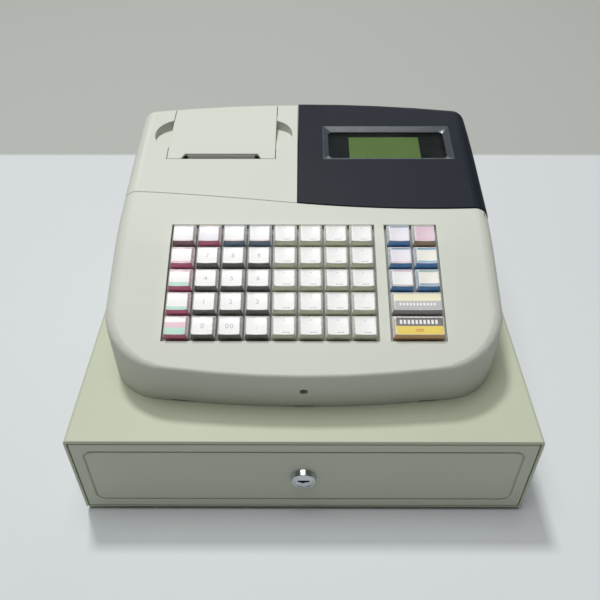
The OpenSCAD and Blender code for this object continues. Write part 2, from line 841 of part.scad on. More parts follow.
module upper_casing() {
    color("#d6d9d0")
        difference() {
            union() {
                difference() {
                    body_form(0);
                    body_form(wall, 2);
                }
                // Pocket of the power rocker
                intersection() {
                    body_form(0.8);
                    translate([rocker_x - rocker_w / 2 - 3, body_rear_y - 30, rocker_z - rocker_h / 2 - 3])
                        cube([rocker_w + 6, 30, rocker_h + 6]);
                }
                // Screw boss behind the front wall
                translate([0, foot_y + 10, front_screw_z]) rotate([90, 0, 0]) cylinder(h = 11, r = 5);
            }
            cover_zone(-half_w - 5, half_w + 5, seam);
            key_openings();
            rear_cutouts();
            // Rocker pocket, open to the rear
            translate([rocker_x - rocker_w / 2 - gap, body_rear_y - 24, rocker_z - rocker_h / 2 - gap])
                cube([rocker_w + 2 * gap, 40, rocker_h + 2 * gap]);
            translate([rocker_x - rocker_w / 2 - 4, body_rear_y - 40, rocker_z - rocker_h / 2 - 4])
                cube([rocker_w + 8, 18, rocker_h + 8]);
            across(rocker_x - rocker_w / 2 - 1.8, rocker_pivot_y, rocker_z, rocker_w + 3.6,
                   $r = rocker_pin_r + running);
            // Front screw hole and the clip notches along the foot
            translate([0, foot_y + 4.5, front_screw_z])
                rotate([90, 0, 0]) cylinder(h = 20, r = head_r + running);
            both_sides() translate([84, lip_y, top_z - 1]) cube([12, 25, 2.2]);
            translate([-8, lip_y, top_z - 1]) cube([16, 25, 2.2]);
            screw_shanks();
            screw_heads();
        }
}

module base_plate() {
    color("#55585a") {
        intersection() {
            body_form(wall + 0.4, 0);
            translate([-half_w, lip_y, top_z + pad_h]) cube([body_w, body_d, base_t]);
        }
        both_sides()
            for (y = [lip_y + 60, body_rear_y - 40])
                translate([half_w - 50, y, top_z]) cylinder(h = pad_h, r = 8);
    }
}

module skin(x0, x1, thickness, proud = 0) {
    intersection() {
        difference() {
            body_form(-proud);
            body_form(thickness);
        }
        cover_zone(x0, x1, 0);
    }
}

module flap_zone(g, low) {
    difference() {
        translate([flap_x0 - g, flap_y - g, low]) cube([flap_w + 2 * g, past, past]);
        if (g <= 0) paper_slot();
    }
}

// The paper slot, narrower towards the rear, cut from the flap's front edge
module paper_slot() {
    translate([printer_x, flap_y, parting_z])
        linear_extrude(100)
            polygon([[-slot_w / 2 - 1.5, -1], [slot_w / 2 + 1.5, -1], [slot_w / 2 - 2, slot_len],
                     [-slot_w / 2 + 2, slot_len]]);
}

// A finger recess: half a well whose floor falls towards the rear. g grows it, floor_t lowers its floor.
module finger_recess(g, floor_t) {
    front = recess_y - recess_r;
    fall = atan(recess_depth / (2 * recess_r)) - cover_angle;
    for (s = [-1, 1])
        intersection() {
            translate([printer_x + s * recess_x, recess_y, parting_z]) cylinder(h = past, r = recess_r + g);
            translate([printer_x + s * recess_x + (s < 0 ? -60 : -g), front - 40, parting_z])
                cube([60 + g, past, past]);
            translate([0, front, top(front) - floor_t])
                rotate([-fall, 0, 0])
                    translate([-half_w, -20, 0]) cube([2 * half_w, 120, 60]);
        }
}

module printer_cover() {
    color("#d2d4cb")
        difference() {
            union() {
                skin(-half_w - 5, hood_x - seam / 2, wall);
                intersection() {
                    finger_recess(wall - 0.5, wall - 0.5);
                    body_form(0.6);
                }
                // Ears that carry the flap's hinge pins
                for (x = [flap_x0 - gap - 3, flap_x1 + gap])
                    translate([x, hinge_y - 5, hinge_z - 5])
                        cube([3, body_rear_y - bow(x) - wall + 0.8 - hinge_y + 5, 10]);
                for (s = [-1, 1])
                    across(s < 0 ? flap_x0 - 1 : flap_x1 - lug_in - lug_t - 0.5, hinge_y, hinge_z,
                           lug_in + lug_t + 1.5, $r = hinge_pin_r);
            }
            intersection() {
                flap_zone(seam, flap_low_z - sweep_gap);
                difference() {
                    body_form(-2);
                    body_form(wall + 0.5);
                }
            }
            finger_recess(0, 0);
            // Slots that the flap's lugs swing through
            for (x = [flap_x0 + lug_in, flap_x1 - lug_in - lug_t])
                translate([x - 0.5, hinge_y + 6, hinge_z - 4]) cube([lug_t + 1, 40, 60]);
        }
}

module paper_flap() {
    color("#d2d4cb")
        difference() {
            union() {
                intersection() {
                    difference() {
                        body_form(0);
                        body_form(wall);
                    }
                    flap_zone(0, flap_low_z);
                }
                // Lugs down to the hinge
                intersection() {
                    body_form(wall - 0.5);
                    for (x = [flap_x0 + lug_in, flap_x1 - lug_in - lug_t])
                        translate([x, hinge_y - 5, hinge_z]) cube([lug_t, 10, 60]);
                }
                for (x = [flap_x0 + lug_in, flap_x1 - lug_in - lug_t])
                    across(x, hinge_y, hinge_z, lug_t, $r = 5);
            }
            for (x = [flap_x0 + lug_in, flap_x1 - lug_in - lug_t])
                across(x - 1, hinge_y, hinge_z, lug_t + 2, $r = hinge_pin_r + running);
        }
}

module at_bezel() {
    translate([bezel_x + bezel_w / 2, bezel_y, top(bezel_y)])
        rotate([bezel_turn, 0, 0])
            children();
}

module display_cover() {
    color("#303439")
        difference() {
            skin(hood_x + seam / 2, half_w + 5, wall, hood_proud);
            at_bezel() translate([-bezel_w / 2, 0, -20]) cube([bezel_w, bezel_len, 40]);
            translate([customer_x - customer_w / 2, body_rear_y - 40, customer_z - customer_h / 2])
                cube([customer_w, 60, customer_h]);
        }
}

module display_bezel() {
    inner_w = bezel_w - 2 * bezel_frame;
    inner_l = bezel_len - 2 * bezel_frame;
    floor_z = -window_depth;
    color("#3d4246")
        at_bezel()
            difference() {
                translate([-bezel_w / 2 + 0.1, 0.1, -wall - 4])
                    cube([bezel_w - 0.2, bezel_len - 0.2, wall + 4 + bezel_top]);
                // Sloping frame down to the window
                hull() {
                    translate([0, 1, bezel_top + 0.01])
                        linear_extrude(0.01) rounded_plate(bezel_w - 2, bezel_len - 2, 1.5);
                    translate([0, bezel_frame, floor_z])
                        linear_extrude(0.01) rounded_plate(inner_w, inner_l, 4);
                }
                translate([0, bezel_frame, -20]) linear_extrude(40) rounded_plate(inner_w, inner_l, 4);
                // Seat of the window, from below
                translate([-bezel_w / 2 + 3, 3, -20]) cube([bezel_w - 6, bezel_len - 6, 20 - window_depth - 1]);
            }
}

module display_window() {
    color([0.2, 0.22, 0.24, 0.5])
        at_bezel()
            translate([-bezel_w / 2 + 3 + 0.1, 3.1, -window_depth - 1 - window_t])
                cube([bezel_w - 6.2, bezel_len - 6.2, window_t]);
}

module lcd_module() {
    glass_top = -window_depth - 1 - window_t - 1.5;
    color("#5d7545")
        at_bezel()
            translate([-1.5, bezel_len / 2, 0]) {
                // Metal frame, view area and board
                difference() {
                    translate([-49, -19, glass_top - 5]) cube([98, 38, 5]);
                    translate([-lcd_w / 2, -lcd_len / 2, glass_top - 1]) cube([lcd_w, lcd_len, 2]);
                }
                translate([-50, -20.5, glass_top - 5 - board_t]) cube([100, 41, board_t]);
                for (x = [-47, 47], y = [-16, 16])
                    translate([x, y, glass_top]) cylinder(h = 1.5, r = 1.8);
            }
}

module customer_display() {
    face_y = body_rear_y - bow(customer_x + customer_w / 2 + 4) - wall - gap;
    color("#1d2326")
        translate([customer_x - customer_w / 2 - 4, face_y - customer_depth, customer_z - customer_h / 2 - 3])
            difference() {
                cube([customer_w + 8, customer_depth, customer_h + 6]);
                translate([6, customer_depth - 1.2, 5]) cube([customer_w - 4, 2, customer_h - 4]);
            }
}

// Keyboard

module keyboard_frame() {
    x0 = keys_x - frame_margin;
    w = keys_w + 2 * frame_margin;
    l = key_rows * key_pitch + 2 * frame_margin;
    color("#8b8d86")
        on_deck()
            translate([x0, keys_set_back - frame_margin, frame_top - frame_t]) {
                difference() {
                    cube([w, l, frame_t]);
                    stem_holes(-x0, -keys_set_back + frame_margin, stem_w + 2 * stem_gap);
                }
                // Walls up to the deck's underside
                difference() {
                    translate([0, 0, frame_t]) cube([w, l, -frame_top - deck_skin - 0.05]);
                    translate([frame_wall, frame_wall, 0]) cube([w - 2 * frame_wall, l - 2 * frame_wall, 40]);
                    // Lower where the deck bends away above it
                    translate([-1, bend_t - keys_set_back, -frame_top + frame_t - deck_skin - bend_drop])
                        cube([w + 2, l, 20]);
                }
            }
}

// One square hole for each key's stem
module stem_holes(dx, dy, size) {
    for (cell = all_cells())
        translate([cell[0] + dx - size / 2, cell[1] + dy - size / 2, -1]) cube([size, size, 30]);
}

function cell_x(col) = (col < left_cols ? keys_x + (col + 0.5) * key_pitch
                                        : right_keys_x + (col - left_cols + 0.5) * key_pitch);
function cell_t(row) = keys_set_back + (key_rows - row + 0.5) * key_pitch;
// Centres of all keys: the left block, six single keys and two double keys
function all_cells() = concat(
    [for (row = [1 : key_rows], col = [0 : left_cols - 1]) [cell_x(col), cell_t(row)]],
    [for (row = [1 : key_rows - 2], col = [left_cols : left_cols + 1]) [cell_x(col), cell_t(row)]],
    [for (row = [key_rows - 1, key_rows]) [(cell_x(left_cols) + cell_x(left_cols + 1)) / 2, cell_t(row)]]);

module key_switches() {
    hole = stem_w + 2 * stem_gap;
    color("#303030")
        on_deck()
            for (cell = all_cells())
                translate([cell[0], cell[1], board_top])
                    difference() {
                        translate([-switch_w / 2, -switch_w / 2, 0]) cube([switch_w, switch_w, switch_h]);
                        translate([-hole / 2, -hole / 2, 1.5]) cube([hole, hole, switch_h]);
                    }
}

module keyboard_board() {
    color("#2f6b45")
        on_deck()
            translate([keys_x - board_margin, keys_set_back - board_margin, board_top - board_t])
                cube([keys_w + 2 * board_margin, key_rows * key_pitch + 2 * board_margin, board_t]);
}

// A key cap of the given number of cells across, with its stem, centred on its cell
module keycap(cells = 1) {
    extra = (cells - 1) * key_pitch;
    foot_y0 = -key_foot_w / 2;
    top_y0 = -key_pitch / 2 + key_front;
    top_y1 = key_pitch / 2 - key_rear;
    foot_x = (key_foot_w + extra) / 2;
    top_x = (key_top_w + extra) / 2;
    intersection() {
        rotate([90, 0, 90])
            translate([0, 0, -foot_x])
                linear_extrude(2 * foot_x)
                    polygon([[foot_y0, -key_skirt], [key_foot_w / 2, -key_skirt], [key_foot_w / 2, 0],
                             [top_y1, key_h], [top_y0, key_h], [foot_y0, 0]]);
        rotate([90, 0, 0])
            translate([0, 0, -key_foot_w / 2])
                linear_extrude(key_foot_w)
                    polygon([[-foot_x, -key_skirt], [foot_x, -key_skirt], [foot_x, 0], [top_x, key_h],
                             [-top_x, key_h], [-foot_x, 0]]);
    }
    translate([-stem_w / 2, -stem_w / 2, -key_skirt - stem_len]) cube([stem_w, stem_w, stem_len]);
}

module keys(row, cols, cells = 1) {
    on_deck()
        for (col = cols)
            translate([cell_x(col) + (cells - 1) * key_pitch / 2, cell_t(row), 0])
                keycap(cells);
}

module function_keys() { color("#c9a3b4") keys(1, [0 : 3]); }
module side_keys() {
    color("#aa506e") for (row = [2 : key_rows]) keys(row, [0]);
}
module number_keys(row) { color("#46413a") keys(row + 1, [1 : 3]); }
module department_keys(row) { color("#e9e9dd") keys(row, [4 : 7]); }
module option_key(n) {
    color("#2d6593") keys(ceil(n / 2), [n % 2 == 1 ? left_cols : left_cols + 1]);
}
module subtotal_key() { color("#8f8d92") keys(4, [left_cols], 2); }
module total_key() { color("#e0b83c") keys(5, [left_cols], 2); }

// Electronics and rear panel

module main_board() {
    color("#2c6e49") {
        translate([board_x, board_y, main_board_z]) cube([board_w, board_d, board_t]);
        for (x = [board_x + post_in, board_x + board_w - post_in],
             y = [board_y + post_in, board_y + board_d - 2 * post_in])
            translate([x, y, frame_low_z]) cylinder(h = main_board_z - frame_low_z, r = 3);
    }
    // Processor, memory and a capacitor, placed by their share of the board
    color("#1e1e1e") {
        translate([board_x + 0.29 * board_w, board_y + 0.21 * board_d, socket_z])
            cube([chip_w, chip_w, chip_h]);
        translate([board_x + 0.64 * board_w, board_y + 0.14 * board_d, socket_z])
            cube([chip_w / 2, chip_w, chip_h]);
        translate([board_x + 0.89 * board_w, board_y + 0.25 * board_d, socket_z])
            cylinder(h = can_h, r = can_h / 3);
    }
}

module rear_sockets() {
    depth = 20;
    color("#2a2a2c") {
        // Drawer cable jack
        translate([jack_x - 6.5, body_rear_y - depth - 4, socket_z])
            difference() {
                cube([13, depth, 13]);
                translate([1.5, 6, 3]) cube([10, depth, 8]);
            }
        // Low-voltage power socket
        difference() {
            translate([power_x - 5.5, body_rear_y - depth - 4, socket_z]) cube([11, depth, 12]);
            translate([power_x, body_rear_y - 14, socket_z + 6]) rotate([-90, 0, 0]) cylinder(h = 20, r = 3);
        }
        translate([power_x, body_rear_y - 15, socket_z + 6]) rotate([-90, 0, 0]) cylinder(h = 10, r = 1);
        // Serial port
        translate([serial_x - 15.5, body_rear_y - depth - 4, socket_z]) cube([31, depth - 2, 12.5]);
        translate([serial_x - 9, body_rear_y - depth - 4, socket_z + 2]) cube([18, depth + 2, 8.5]);
    }
}

module power_switch() {
    color("#1c1c1c") {
        // Two wings that meet at the pivot
        translate([rocker_x - rocker_w / 2, rocker_pivot_y, rocker_z])
            rotate([90, 0, 90])
                linear_extrude(rocker_w)
                    polygon([[-6, -2.5], [-6, 2.5], [1, rocker_tip - 1], [4.6, rocker_tip], [3.4, 0],
                             [4.6, -rocker_tip], [1, 1 - rocker_tip]]);
        across(rocker_x - rocker_w / 2 - 1.5, rocker_pivot_y, rocker_z, rocker_w + 3, $r = rocker_pin_r);
    }
}

// Countersunk screws: along the case's sides, on its rear wall and on the body's rear wall
module place_screws() {
    both_sides() {
        for (y = side_screw_ys)
            translate([case_w / 2, y, base_top_z + 5]) rotate([0, 90, 0]) children();
        translate([half_w - 24, body_rear_y - bow(half_w - 24), top_z + 14]) rotate([-90, 0, 0]) children();
    }
    translate([0, foot_y + 4.5, front_screw_z]) rotate([90, 0, 0]) children();
}
module screw_shanks() { place_screws() translate([0, 0, -6]) cylinder(h = 12, r = screw_r + running); }
module screw_heads() { place_screws() translate([0, 0, -head_h]) cylinder(h = 2 * head_h, r = head_r + running); }
module casing_screws() {
    color("#9a9da0")
        place_screws() {
            difference() {
                union() {
                    translate([0, 0, -head_h]) cylinder(h = head_h, r = head_r - 0.02);
                    translate([0, 0, -5.5]) cylinder(h = 5, r = screw_r);
                }
                translate([-2, -0.35, -0.7]) cube([4, 0.7, 1]);
                translate([-0.35, -2, -0.7]) cube([0.7, 4, 1]);
            }
        }
}

// Printer

module printer_frame() {
    trough_r = paper_r + trough_gap;
    low_y = flap_y - 6;
    color("#3a3d40")
        difference() {
            union() {
                // Side plates: tall at the platen, low beside the paper roll
                for (x = [-plate_x, plate_x - plate_t]) {
                    translate([printer_x + x, low_y, frame_low_z])
                        cube([plate_t, 22, platen_z + 5 - frame_low_z]);
                    translate([printer_x + x, low_y, frame_low_z])
                        cube([plate_t, paper_y + 22 - low_y, paper_z - frame_low_z]);
                }
                // Cross plate that carries the print head, and the base
                translate([printer_x - plate_x, low_y, platen_z - 32]) cube([2 * plate_x, 2.5, 36]);
                translate([printer_x - plate_x, low_y, frame_low_z])
                    cube([2 * plate_x, paper_y + 22 - low_y, 2]);
                // Paper trough between the plates
                difference() {
                    across(printer_x - plate_x, paper_y, paper_z, 2 * plate_x, $r = trough_r + trough_t);
                    across(printer_x - plate_x - 1, paper_y, paper_z, 2 * plate_x + 2, $r = trough_r);
                    translate([printer_x - plate_x - 1, paper_y - 40, paper_z])
                        cube([2 * plate_x + 2, 80, 60]);
                }
            }
            across(printer_x - plate_x - 1, platen_y, platen_z, 2 * plate_x + 2, $r = shaft_r + running);
            across(printer_x - plate_x - 1, pinion_y, pinion_z, plate_t + 2, $r = 2);
        }
}

module print_head() {
    head_w = paper_w - 1;
    color("#b9bcc0")
        translate([printer_x - head_w / 2, flap_y - 3.5, platen_z - 9])
            difference() {
                cube([head_w, platen_y - platen_r - gap - flap_y + 3.5, 14]);
                for (i = [1 : 7]) translate([i * head_w / 8 - 1.5, -1, -1]) cube([3, 3, 8]);
            }
}

module paper_motor() {
    color("#8f9498")
        difference() {
            across(printer_x - plate_x + plate_t, pinion_y, pinion_z, motor_len, $r = motor_r);
            across(printer_x - plate_x, pinion_y, pinion_z, motor_len, $r = motor_shaft_r + running);
        }
}

// A spur gear across x, with a tooth at the given turn from straight down
module spur_gear(x, y, z, teeth, turn, bore) {
    pitch_r = teeth * gear_module / 2;
    tip_r = pitch_r + 0.85 * gear_module;
    root_r = pitch_r - 1.1 * gear_module;
    step = 360 / teeth;
    translate([x, y, z])
        rotate([90, 0, 90])
            linear_extrude(gear_w)
                difference() {
                    union() {
                        circle(root_r);
                        for (i = [0 : teeth - 1])
                            rotate(-90 + turn + i * step)
                                polygon([[0, -0.9 * gear_module], [root_r, -0.9 * gear_module],
                                         [pitch_r, -0.66 * gear_module], [tip_r, -0.3 * gear_module],
                                         [tip_r, 0.3 * gear_module], [pitch_r, 0.66 * gear_module],
                                         [root_r, 0.9 * gear_module], [0, 0.9 * gear_module]]);
                    }
                    circle(bore);
                }
}

module platen_gear() {
    color("#e2e0d6")
        spur_gear(printer_x - plate_x - 1.5 - gear_w, platen_y, platen_z, gear_teeth, 0, shaft_r);
}

module motor_pinion() {
    color("#c8a860") {
        spur_gear(printer_x - plate_x - 1.5 - gear_w, pinion_y, pinion_z, pinion_teeth,
                  180 + 180 / pinion_teeth, 0.5);
        across(printer_x - plate_x - 1.6, pinion_y, pinion_z, motor_len - 3, $r = motor_shaft_r);
    }
}

module platen_roller() {
    color("#26282a") {
        across(printer_x - plate_x - gear_w - 1.5, platen_y, platen_z, 2 * plate_x + gear_w + 4.5,
               $r = shaft_r);
        across(printer_x - paper_w / 2 - 1, platen_y, platen_z, paper_w + 2, $r = platen_r);
    }
}

module tear_bar() {
    bar_w = slot_w - 2;
    teeth = 40;
    top_y = flap_y + 0.5;
    low = platen_z + 5;
    high = top(flap_y) - 0.9;
    color("#c4c8ca")
        translate([printer_x, top_y + 0.8, 0])
            rotate([90, 0, 0])
                linear_extrude(0.8)
                    polygon(concat(
                        [[-bar_w / 2, low], [bar_w / 2, low]],
                        [for (i = [teeth : -1 : 0])
                            each [[-bar_w / 2 + i * bar_w / teeth, high - 0.9],
                                  [-bar_w / 2 + (i - 0.5) * bar_w / teeth, i > 0 ? high : high - 0.9]]]));
}

module paper_roll() {
    color("#f3f2ec")
        difference() {
            across(printer_x - paper_w / 2, paper_y, paper_z, paper_w, $r = paper_r);
            across(printer_x - paper_w / 2 - 1, paper_y, paper_z, paper_w + 2, $r = core_r);
        }
}

rubber_feet();
case_base();
drawer_case();
case_runners();
case_rollers();
drawer_latch();
latch_hook();
drawer_tray();
drawer_front();
drawer_rollers();
cash_tray();
coin_tray();
drawer_fittings();
bill_clips();
lock_barrel();
lock_cylinder();
lock_cam();
base_plate();
upper_casing();
printer_cover();
display_cover();
display_bezel();
display_window();
lcd_module();
customer_display();
keyboard_frame();
key_switches();
keyboard_board();
main_board();
rear_sockets();
power_switch();
casing_screws();
printer_frame();
print_head();
paper_motor();
motor_pinion();
platen_roller();
platen_gear();
tear_bar();
paper_roll();
paper_flap();
function_keys();
side_keys();
number_keys(1);  // number_keys_1
number_keys(2);  // number_keys_2
number_keys(3);  // number_keys_3
number_keys(4);  // number_keys_4
department_keys(1);  // department_keys_1
department_keys(2);  // department_keys_2
department_keys(3);  // department_keys_3
department_keys(4);  // department_keys_4
department_keys(5);  // department_keys_5
option_key(1);  // option_key_1
option_key(2);  // option_key_2
option_key(3);  // option_key_3
option_key(4);  // option_key_4
option_key(5);  // option_key_5
option_key(6);  // option_key_6
subtotal_key();
total_key();
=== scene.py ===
import json
import math
from collections import namedtuple

import bmesh
import bpy
from bpy.props import FloatProperty, FloatVectorProperty, PointerProperty
from mathutils import Matrix, Vector

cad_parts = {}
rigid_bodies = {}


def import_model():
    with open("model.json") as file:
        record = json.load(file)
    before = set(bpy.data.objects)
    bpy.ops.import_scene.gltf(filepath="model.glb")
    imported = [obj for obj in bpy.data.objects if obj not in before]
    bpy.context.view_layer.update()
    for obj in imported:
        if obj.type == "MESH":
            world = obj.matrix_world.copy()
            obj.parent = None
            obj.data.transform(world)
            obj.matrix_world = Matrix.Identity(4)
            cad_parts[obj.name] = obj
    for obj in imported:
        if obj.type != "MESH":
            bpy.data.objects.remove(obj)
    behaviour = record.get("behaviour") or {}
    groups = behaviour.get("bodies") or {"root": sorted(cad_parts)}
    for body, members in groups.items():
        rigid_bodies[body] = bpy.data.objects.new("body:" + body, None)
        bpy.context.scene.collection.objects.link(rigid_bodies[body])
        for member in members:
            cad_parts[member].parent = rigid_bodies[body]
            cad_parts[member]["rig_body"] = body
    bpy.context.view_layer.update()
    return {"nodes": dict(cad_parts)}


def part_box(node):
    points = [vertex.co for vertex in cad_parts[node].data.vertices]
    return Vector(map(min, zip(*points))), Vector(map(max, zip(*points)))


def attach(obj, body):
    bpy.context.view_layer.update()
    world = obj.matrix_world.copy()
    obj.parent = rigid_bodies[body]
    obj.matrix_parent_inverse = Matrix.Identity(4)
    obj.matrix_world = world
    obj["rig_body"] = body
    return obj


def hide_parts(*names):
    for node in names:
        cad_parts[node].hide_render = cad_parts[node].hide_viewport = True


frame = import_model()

bl_info = {
    "name": "Ticket register",
    "version": (1, 0, 0),
    "blender": (4, 5, 0),
    "location": "View3D > Sidebar > Register",
    "description": "A ticket register with a receipt printer on a steel cash drawer",
    "category": "Object",
}

MM = 0.001
DECK_SLOPE = math.radians(21.6)
DISPLAY_SLOPE = math.radians(8.5)
NODES = frame["nodes"]


def linear(text):
    """An sRGB hex colour in linear light, as bpy takes it."""
    parts = [int(text[i:i + 2], 16) / 255 for i in (1, 3, 5)]
    return tuple(p / 12.92 if p <= 0.04045 else ((p + 0.055) / 1.055) ** 2.4 for p in parts)


# Sizes and colours

def length(name, text, millimetres):
    return FloatProperty(name=name, description=text, default=millimetres * MM, min=0,
                         unit="LENGTH", subtype="DISTANCE", precision=4)


def colour(name, text, code):
    return FloatVectorProperty(name=name, description=text, default=linear(code), size=3,
                               min=0, max=1, subtype="COLOR")


class RegisterSizes(bpy.types.PropertyGroup):
    casing_edge: length("Casing edge", "Radius on the moulded edges of casing and covers", 0.4)
    sheet_edge: length("Sheet edge", "Radius of the case's painted sheet edges", 0.3)
    front_edge: length("Drawer front edge", "Radius round the drawer's front panel", 0.7)
    small_edge: length("Small edge", "Radius on small moulded and machined pieces", 0.15)
    pitch: length("Key pitch", "Distance between the centres of two keys", 19.05)
    block_left: length("Left block", "From the middle of the register to the keys' left edge", 99.7)
    block_gap: length("Block gap", "Space between the two blocks of keys", 9.2)
    keys_start: length("Keys start", "From the lip up the deck to the keys' front edge", 27.8)
    cap_height: length("Cap height", "Height of a key cap above the deck", 5.5)
    cap_foot: length("Cap foot", "Width of a single key cap at its foot", 17.6)
    cap_top: length("Cap top", "Width of a single key cap at its top", 15)
    cap_front: length("Cap front", "From the edge of a key's cell to its top's front edge", 1.5)
    cap_rear: length("Cap rear", "From the edge of a key's cell to its top's rear edge", 4)
    cap_corner: length("Cap corner", "Radius of a key cap's upright edges", 1.1)
    cap_shell: length("Clear cap wall", "Wall of the clear cap over the legend card", 0.35)
    cap_dish: length("Cap dish", "Depth of the dish in the top of a single cap", 0.45)
    foot: length("Key foot", "Depth of a key's coloured base below the deck", 3)
    stem: length("Key stem", "Half the width of the stem under a key", 2.8)
    card: length("Card thickness", "Thickness of a legend card", 0.15)
    print_lift: length("Print lift", "Height of printed marks above their card", 0.03)
    digit: length("Digit size", "Size of the digits on the number keys", 5.2)


class RegisterColours(bpy.types.PropertyGroup):
    casing: colour("Casing", "Ivory of the moulded casing and covers", "#cdd0c5")
    case: colour("Case", "Paint of the drawer's steel case", "#b9bfa8")
    front: colour("Drawer front", "Paint of the drawer's front panel", "#c2c6b4")
    hood: colour("Hood", "Dark hood round the display", "#101924")
    bezel: colour("Bezel", "Glossy frame of the display's window", "#484f54")
    screen: colour("Screen", "Green of the liquid crystal display", "#90b05c")
    card: colour("Card", "White legend cards under the clear caps", "#f8f8f6")
    floor: colour("Floor", "Floor that the register stands on", "#d2d6d8")
    wall: colour("Wall", "Backdrop behind the floor", "#b0b3ad")


def sizes():
    return bpy.context.scene.register_sizes


def colours():
    return bpy.context.scene.register_colours


# Materials

def feed(tree, node, links):
    """Joins a node's named sockets to what feeds them: a socket, or a node's first output."""
    for key, source in links.items():
        if isinstance(source, bpy.types.Node):
            source = source.outputs[0]
        tree.links.new(source, node.inputs[key])


def add(tree, kind, settings=None, links=None):
    """One node of a material's tree, with its own settings, its sockets' values and its links."""
    node = tree.nodes.new("ShaderNode" + kind)
    for key, value in (settings or {}).items():
        if isinstance(key, int) or key in node.inputs:
            node.inputs[key].default_value = value
        else:
            setattr(node, key, value)
    feed(tree, node, links or {})
    return node


def per_metre(millimetres):
    """The scale of a pattern whose features repeat every so many millimetres."""
    return 1000 / millimetres


def shaded(tone, share):
    """A colour times a share, no brighter than white, as a colour socket takes it."""
    return (*[min(1, c * share) for c in tone], 1)


def begin(name, tone, roughness, **sockets):
    """A new material, with its tree, its shader and the piece's own coordinates."""
    material = bpy.data.materials.new(name)
    material.use_nodes = True
    tree = material.node_tree
    tree.nodes.clear()
    settings = {"Base Color": (*tone, 1), "Roughness": roughness}
    settings.update({key.replace("_", " "): value for key, value in sockets.items()})
    shader = add(tree, "BsdfPrincipled", settings)
    add(tree, "OutputMaterial", {}, {"Surface": shader})
    place = add(tree, "TexCoord").outputs["Object"]
    material.diffuse_color = (*tone, 1)
    return material, tree, shader, place


def drift(tree, place, tone, size, dark, light):
    """Slow changes of tone, size millimetres across, from dark to light times the colour."""
    cloud = add(tree, "TexNoise", {"Scale": per_metre(size), "Detail": 3.0}, {"Vector": place})
    return add(tree, "Mix", {"data_type": "RGBA", 6: shaded(tone, dark), 7: shaded(tone, light)},
               {0: cloud}).outputs[2]


def clouds(tree, place, size, detail, low, high):
    """A value that changes from low to high in clouds size millimetres across."""
    cloud = add(tree, "TexNoise", {"Scale": per_metre(size), "Detail": detail}, {"Vector": place})
    return add(tree, "MapRange", {"To Min": low, "To Max": high}, {"Value": cloud})


def worn_edges(tree, base, tone, low, high):
    """Lighter or darker handling marks where the surface turns sharply."""
    edge = add(tree, "NewGeometry").outputs["Pointiness"]
    share = add(tree, "MapRange", {"From Min": low, "From Max": high}, {"Value": edge})
    return add(tree, "Mix", {"data_type": "RGBA", 7: (*tone, 1)}, {0: share, 6: base}).outputs[2]


def grain(tree, place, size, depth, under=None):
    """Fine relief with bumps of the given size and depth in millimetres."""
    noise = add(tree, "TexNoise", {"Scale": per_metre(size), "Detail": 2.0}, {"Vector": place})
    links = {"Height": noise}
    if under:
        links["Normal"] = under
    return add(tree, "Bump", {"Strength": 1.0, "Distance": depth * MM}, links).outputs[0]


def spark_textured(name, tone, roughness=0.5, size=0.9, depth=0.02, wear=0.0, index=1.53):
    """Plastic moulded in a spark-eroded tool: an even, fine orange-peel grain that breaks up
    highlights. The real grain is 0.3 mm; it is drawn about three times as coarse, to show."""
    material, tree, shader, place = begin(name, tone, roughness, IOR=index)
    base = drift(tree, place, tone, 90, 0.965, 1.02)
    if wear:
        base = worn_edges(tree, base, [min(1, c * (1 + wear) + 0.02) for c in tone], 0.52, 0.62)
    relief = grain(tree, place, size, depth)
    rough = clouds(tree, place, 40, 4.0, roughness - 0.05, roughness + 0.06)
    feed(tree, shader, {"Base Color": base, "Normal": relief, "Roughness": rough})
    return material


def polished_mould(name, tone, roughness):
    """Plastic moulded in a polished tool: glossy, with very slight sink waves and fine rubbing
    marks that dull it in places."""
    material, tree, shader, place = begin(name, tone, roughness, IOR=1.5)
    base = drift(tree, place, tone, 25, 0.93, 1.05)
    relief = grain(tree, place, 0.8, 0.003, grain(tree, place, 14, 0.05))
    rough = clouds(tree, place, 6, 5.0, roughness - 0.06, roughness + 0.1)
    feed(tree, shader, {"Base Color": base, "Normal": relief, "Roughness": rough})
    return material


def powder_coated(name, tone, wear=0.12):
    """Steel sheet with baked powder paint: a soft orange peel of 1.5 mm and tiny darker specks."""
    material, tree, shader, place = begin(name, tone, 0.48, IOR=1.5)
    base = drift(tree, place, tone, 120, 0.96, 1.03)
    specks = add(tree, "TexVoronoi", {"Scale": per_metre(1.1)}, {"Vector": place})
    share = add(tree, "MapRange", {"From Min": 0.0, "From Max": 0.35, "To Min": 0.22,
                                   "To Max": 0.0}, {"Value": specks.outputs["Distance"]})
    base = add(tree, "Mix", {"data_type": "RGBA", 7: shaded(tone, 0.86)},
               {0: share, 6: base}).outputs[2]
    if wear:
        base = worn_edges(tree, base, [min(1, c * (1 + wear)) for c in tone], 0.54, 0.66)
    feed(tree, shader, {"Base Color": base, "Normal": grain(tree, place, 1.5, 0.03)})
    return material


def zinc_plated(name, tone):
    """Bright zinc on folded sheet: a cool grey metal with faint spangles and dull patches."""
    material, tree, shader, place = begin(name, tone, 0.38, Metallic=1.0)
    cells = add(tree, "TexVoronoi", {"Scale": per_metre(7)}, {"Vector": place})
    grey = add(tree, "SeparateColor", {}, {0: cells.outputs["Color"]})
    rough = add(tree, "MapRange", {"To Min": 0.3, "To Max": 0.5}, {"Value": grey})
    share = add(tree, "MapRange", {"To Min": 0.0, "To Max": 0.35}, {"Value": grey.outputs[1]})
    base = add(tree, "Mix", {"data_type": "RGBA", 7: (*linear("#93999d"), 1)},
               {0: share, 6: drift(tree, place, tone, 60, 0.92, 1.06)}).outputs[2]
    feed(tree, shader, {"Base Color": base, "Normal": grain(tree, place, 3, 0.01),
                        "Roughness": rough})
    return material


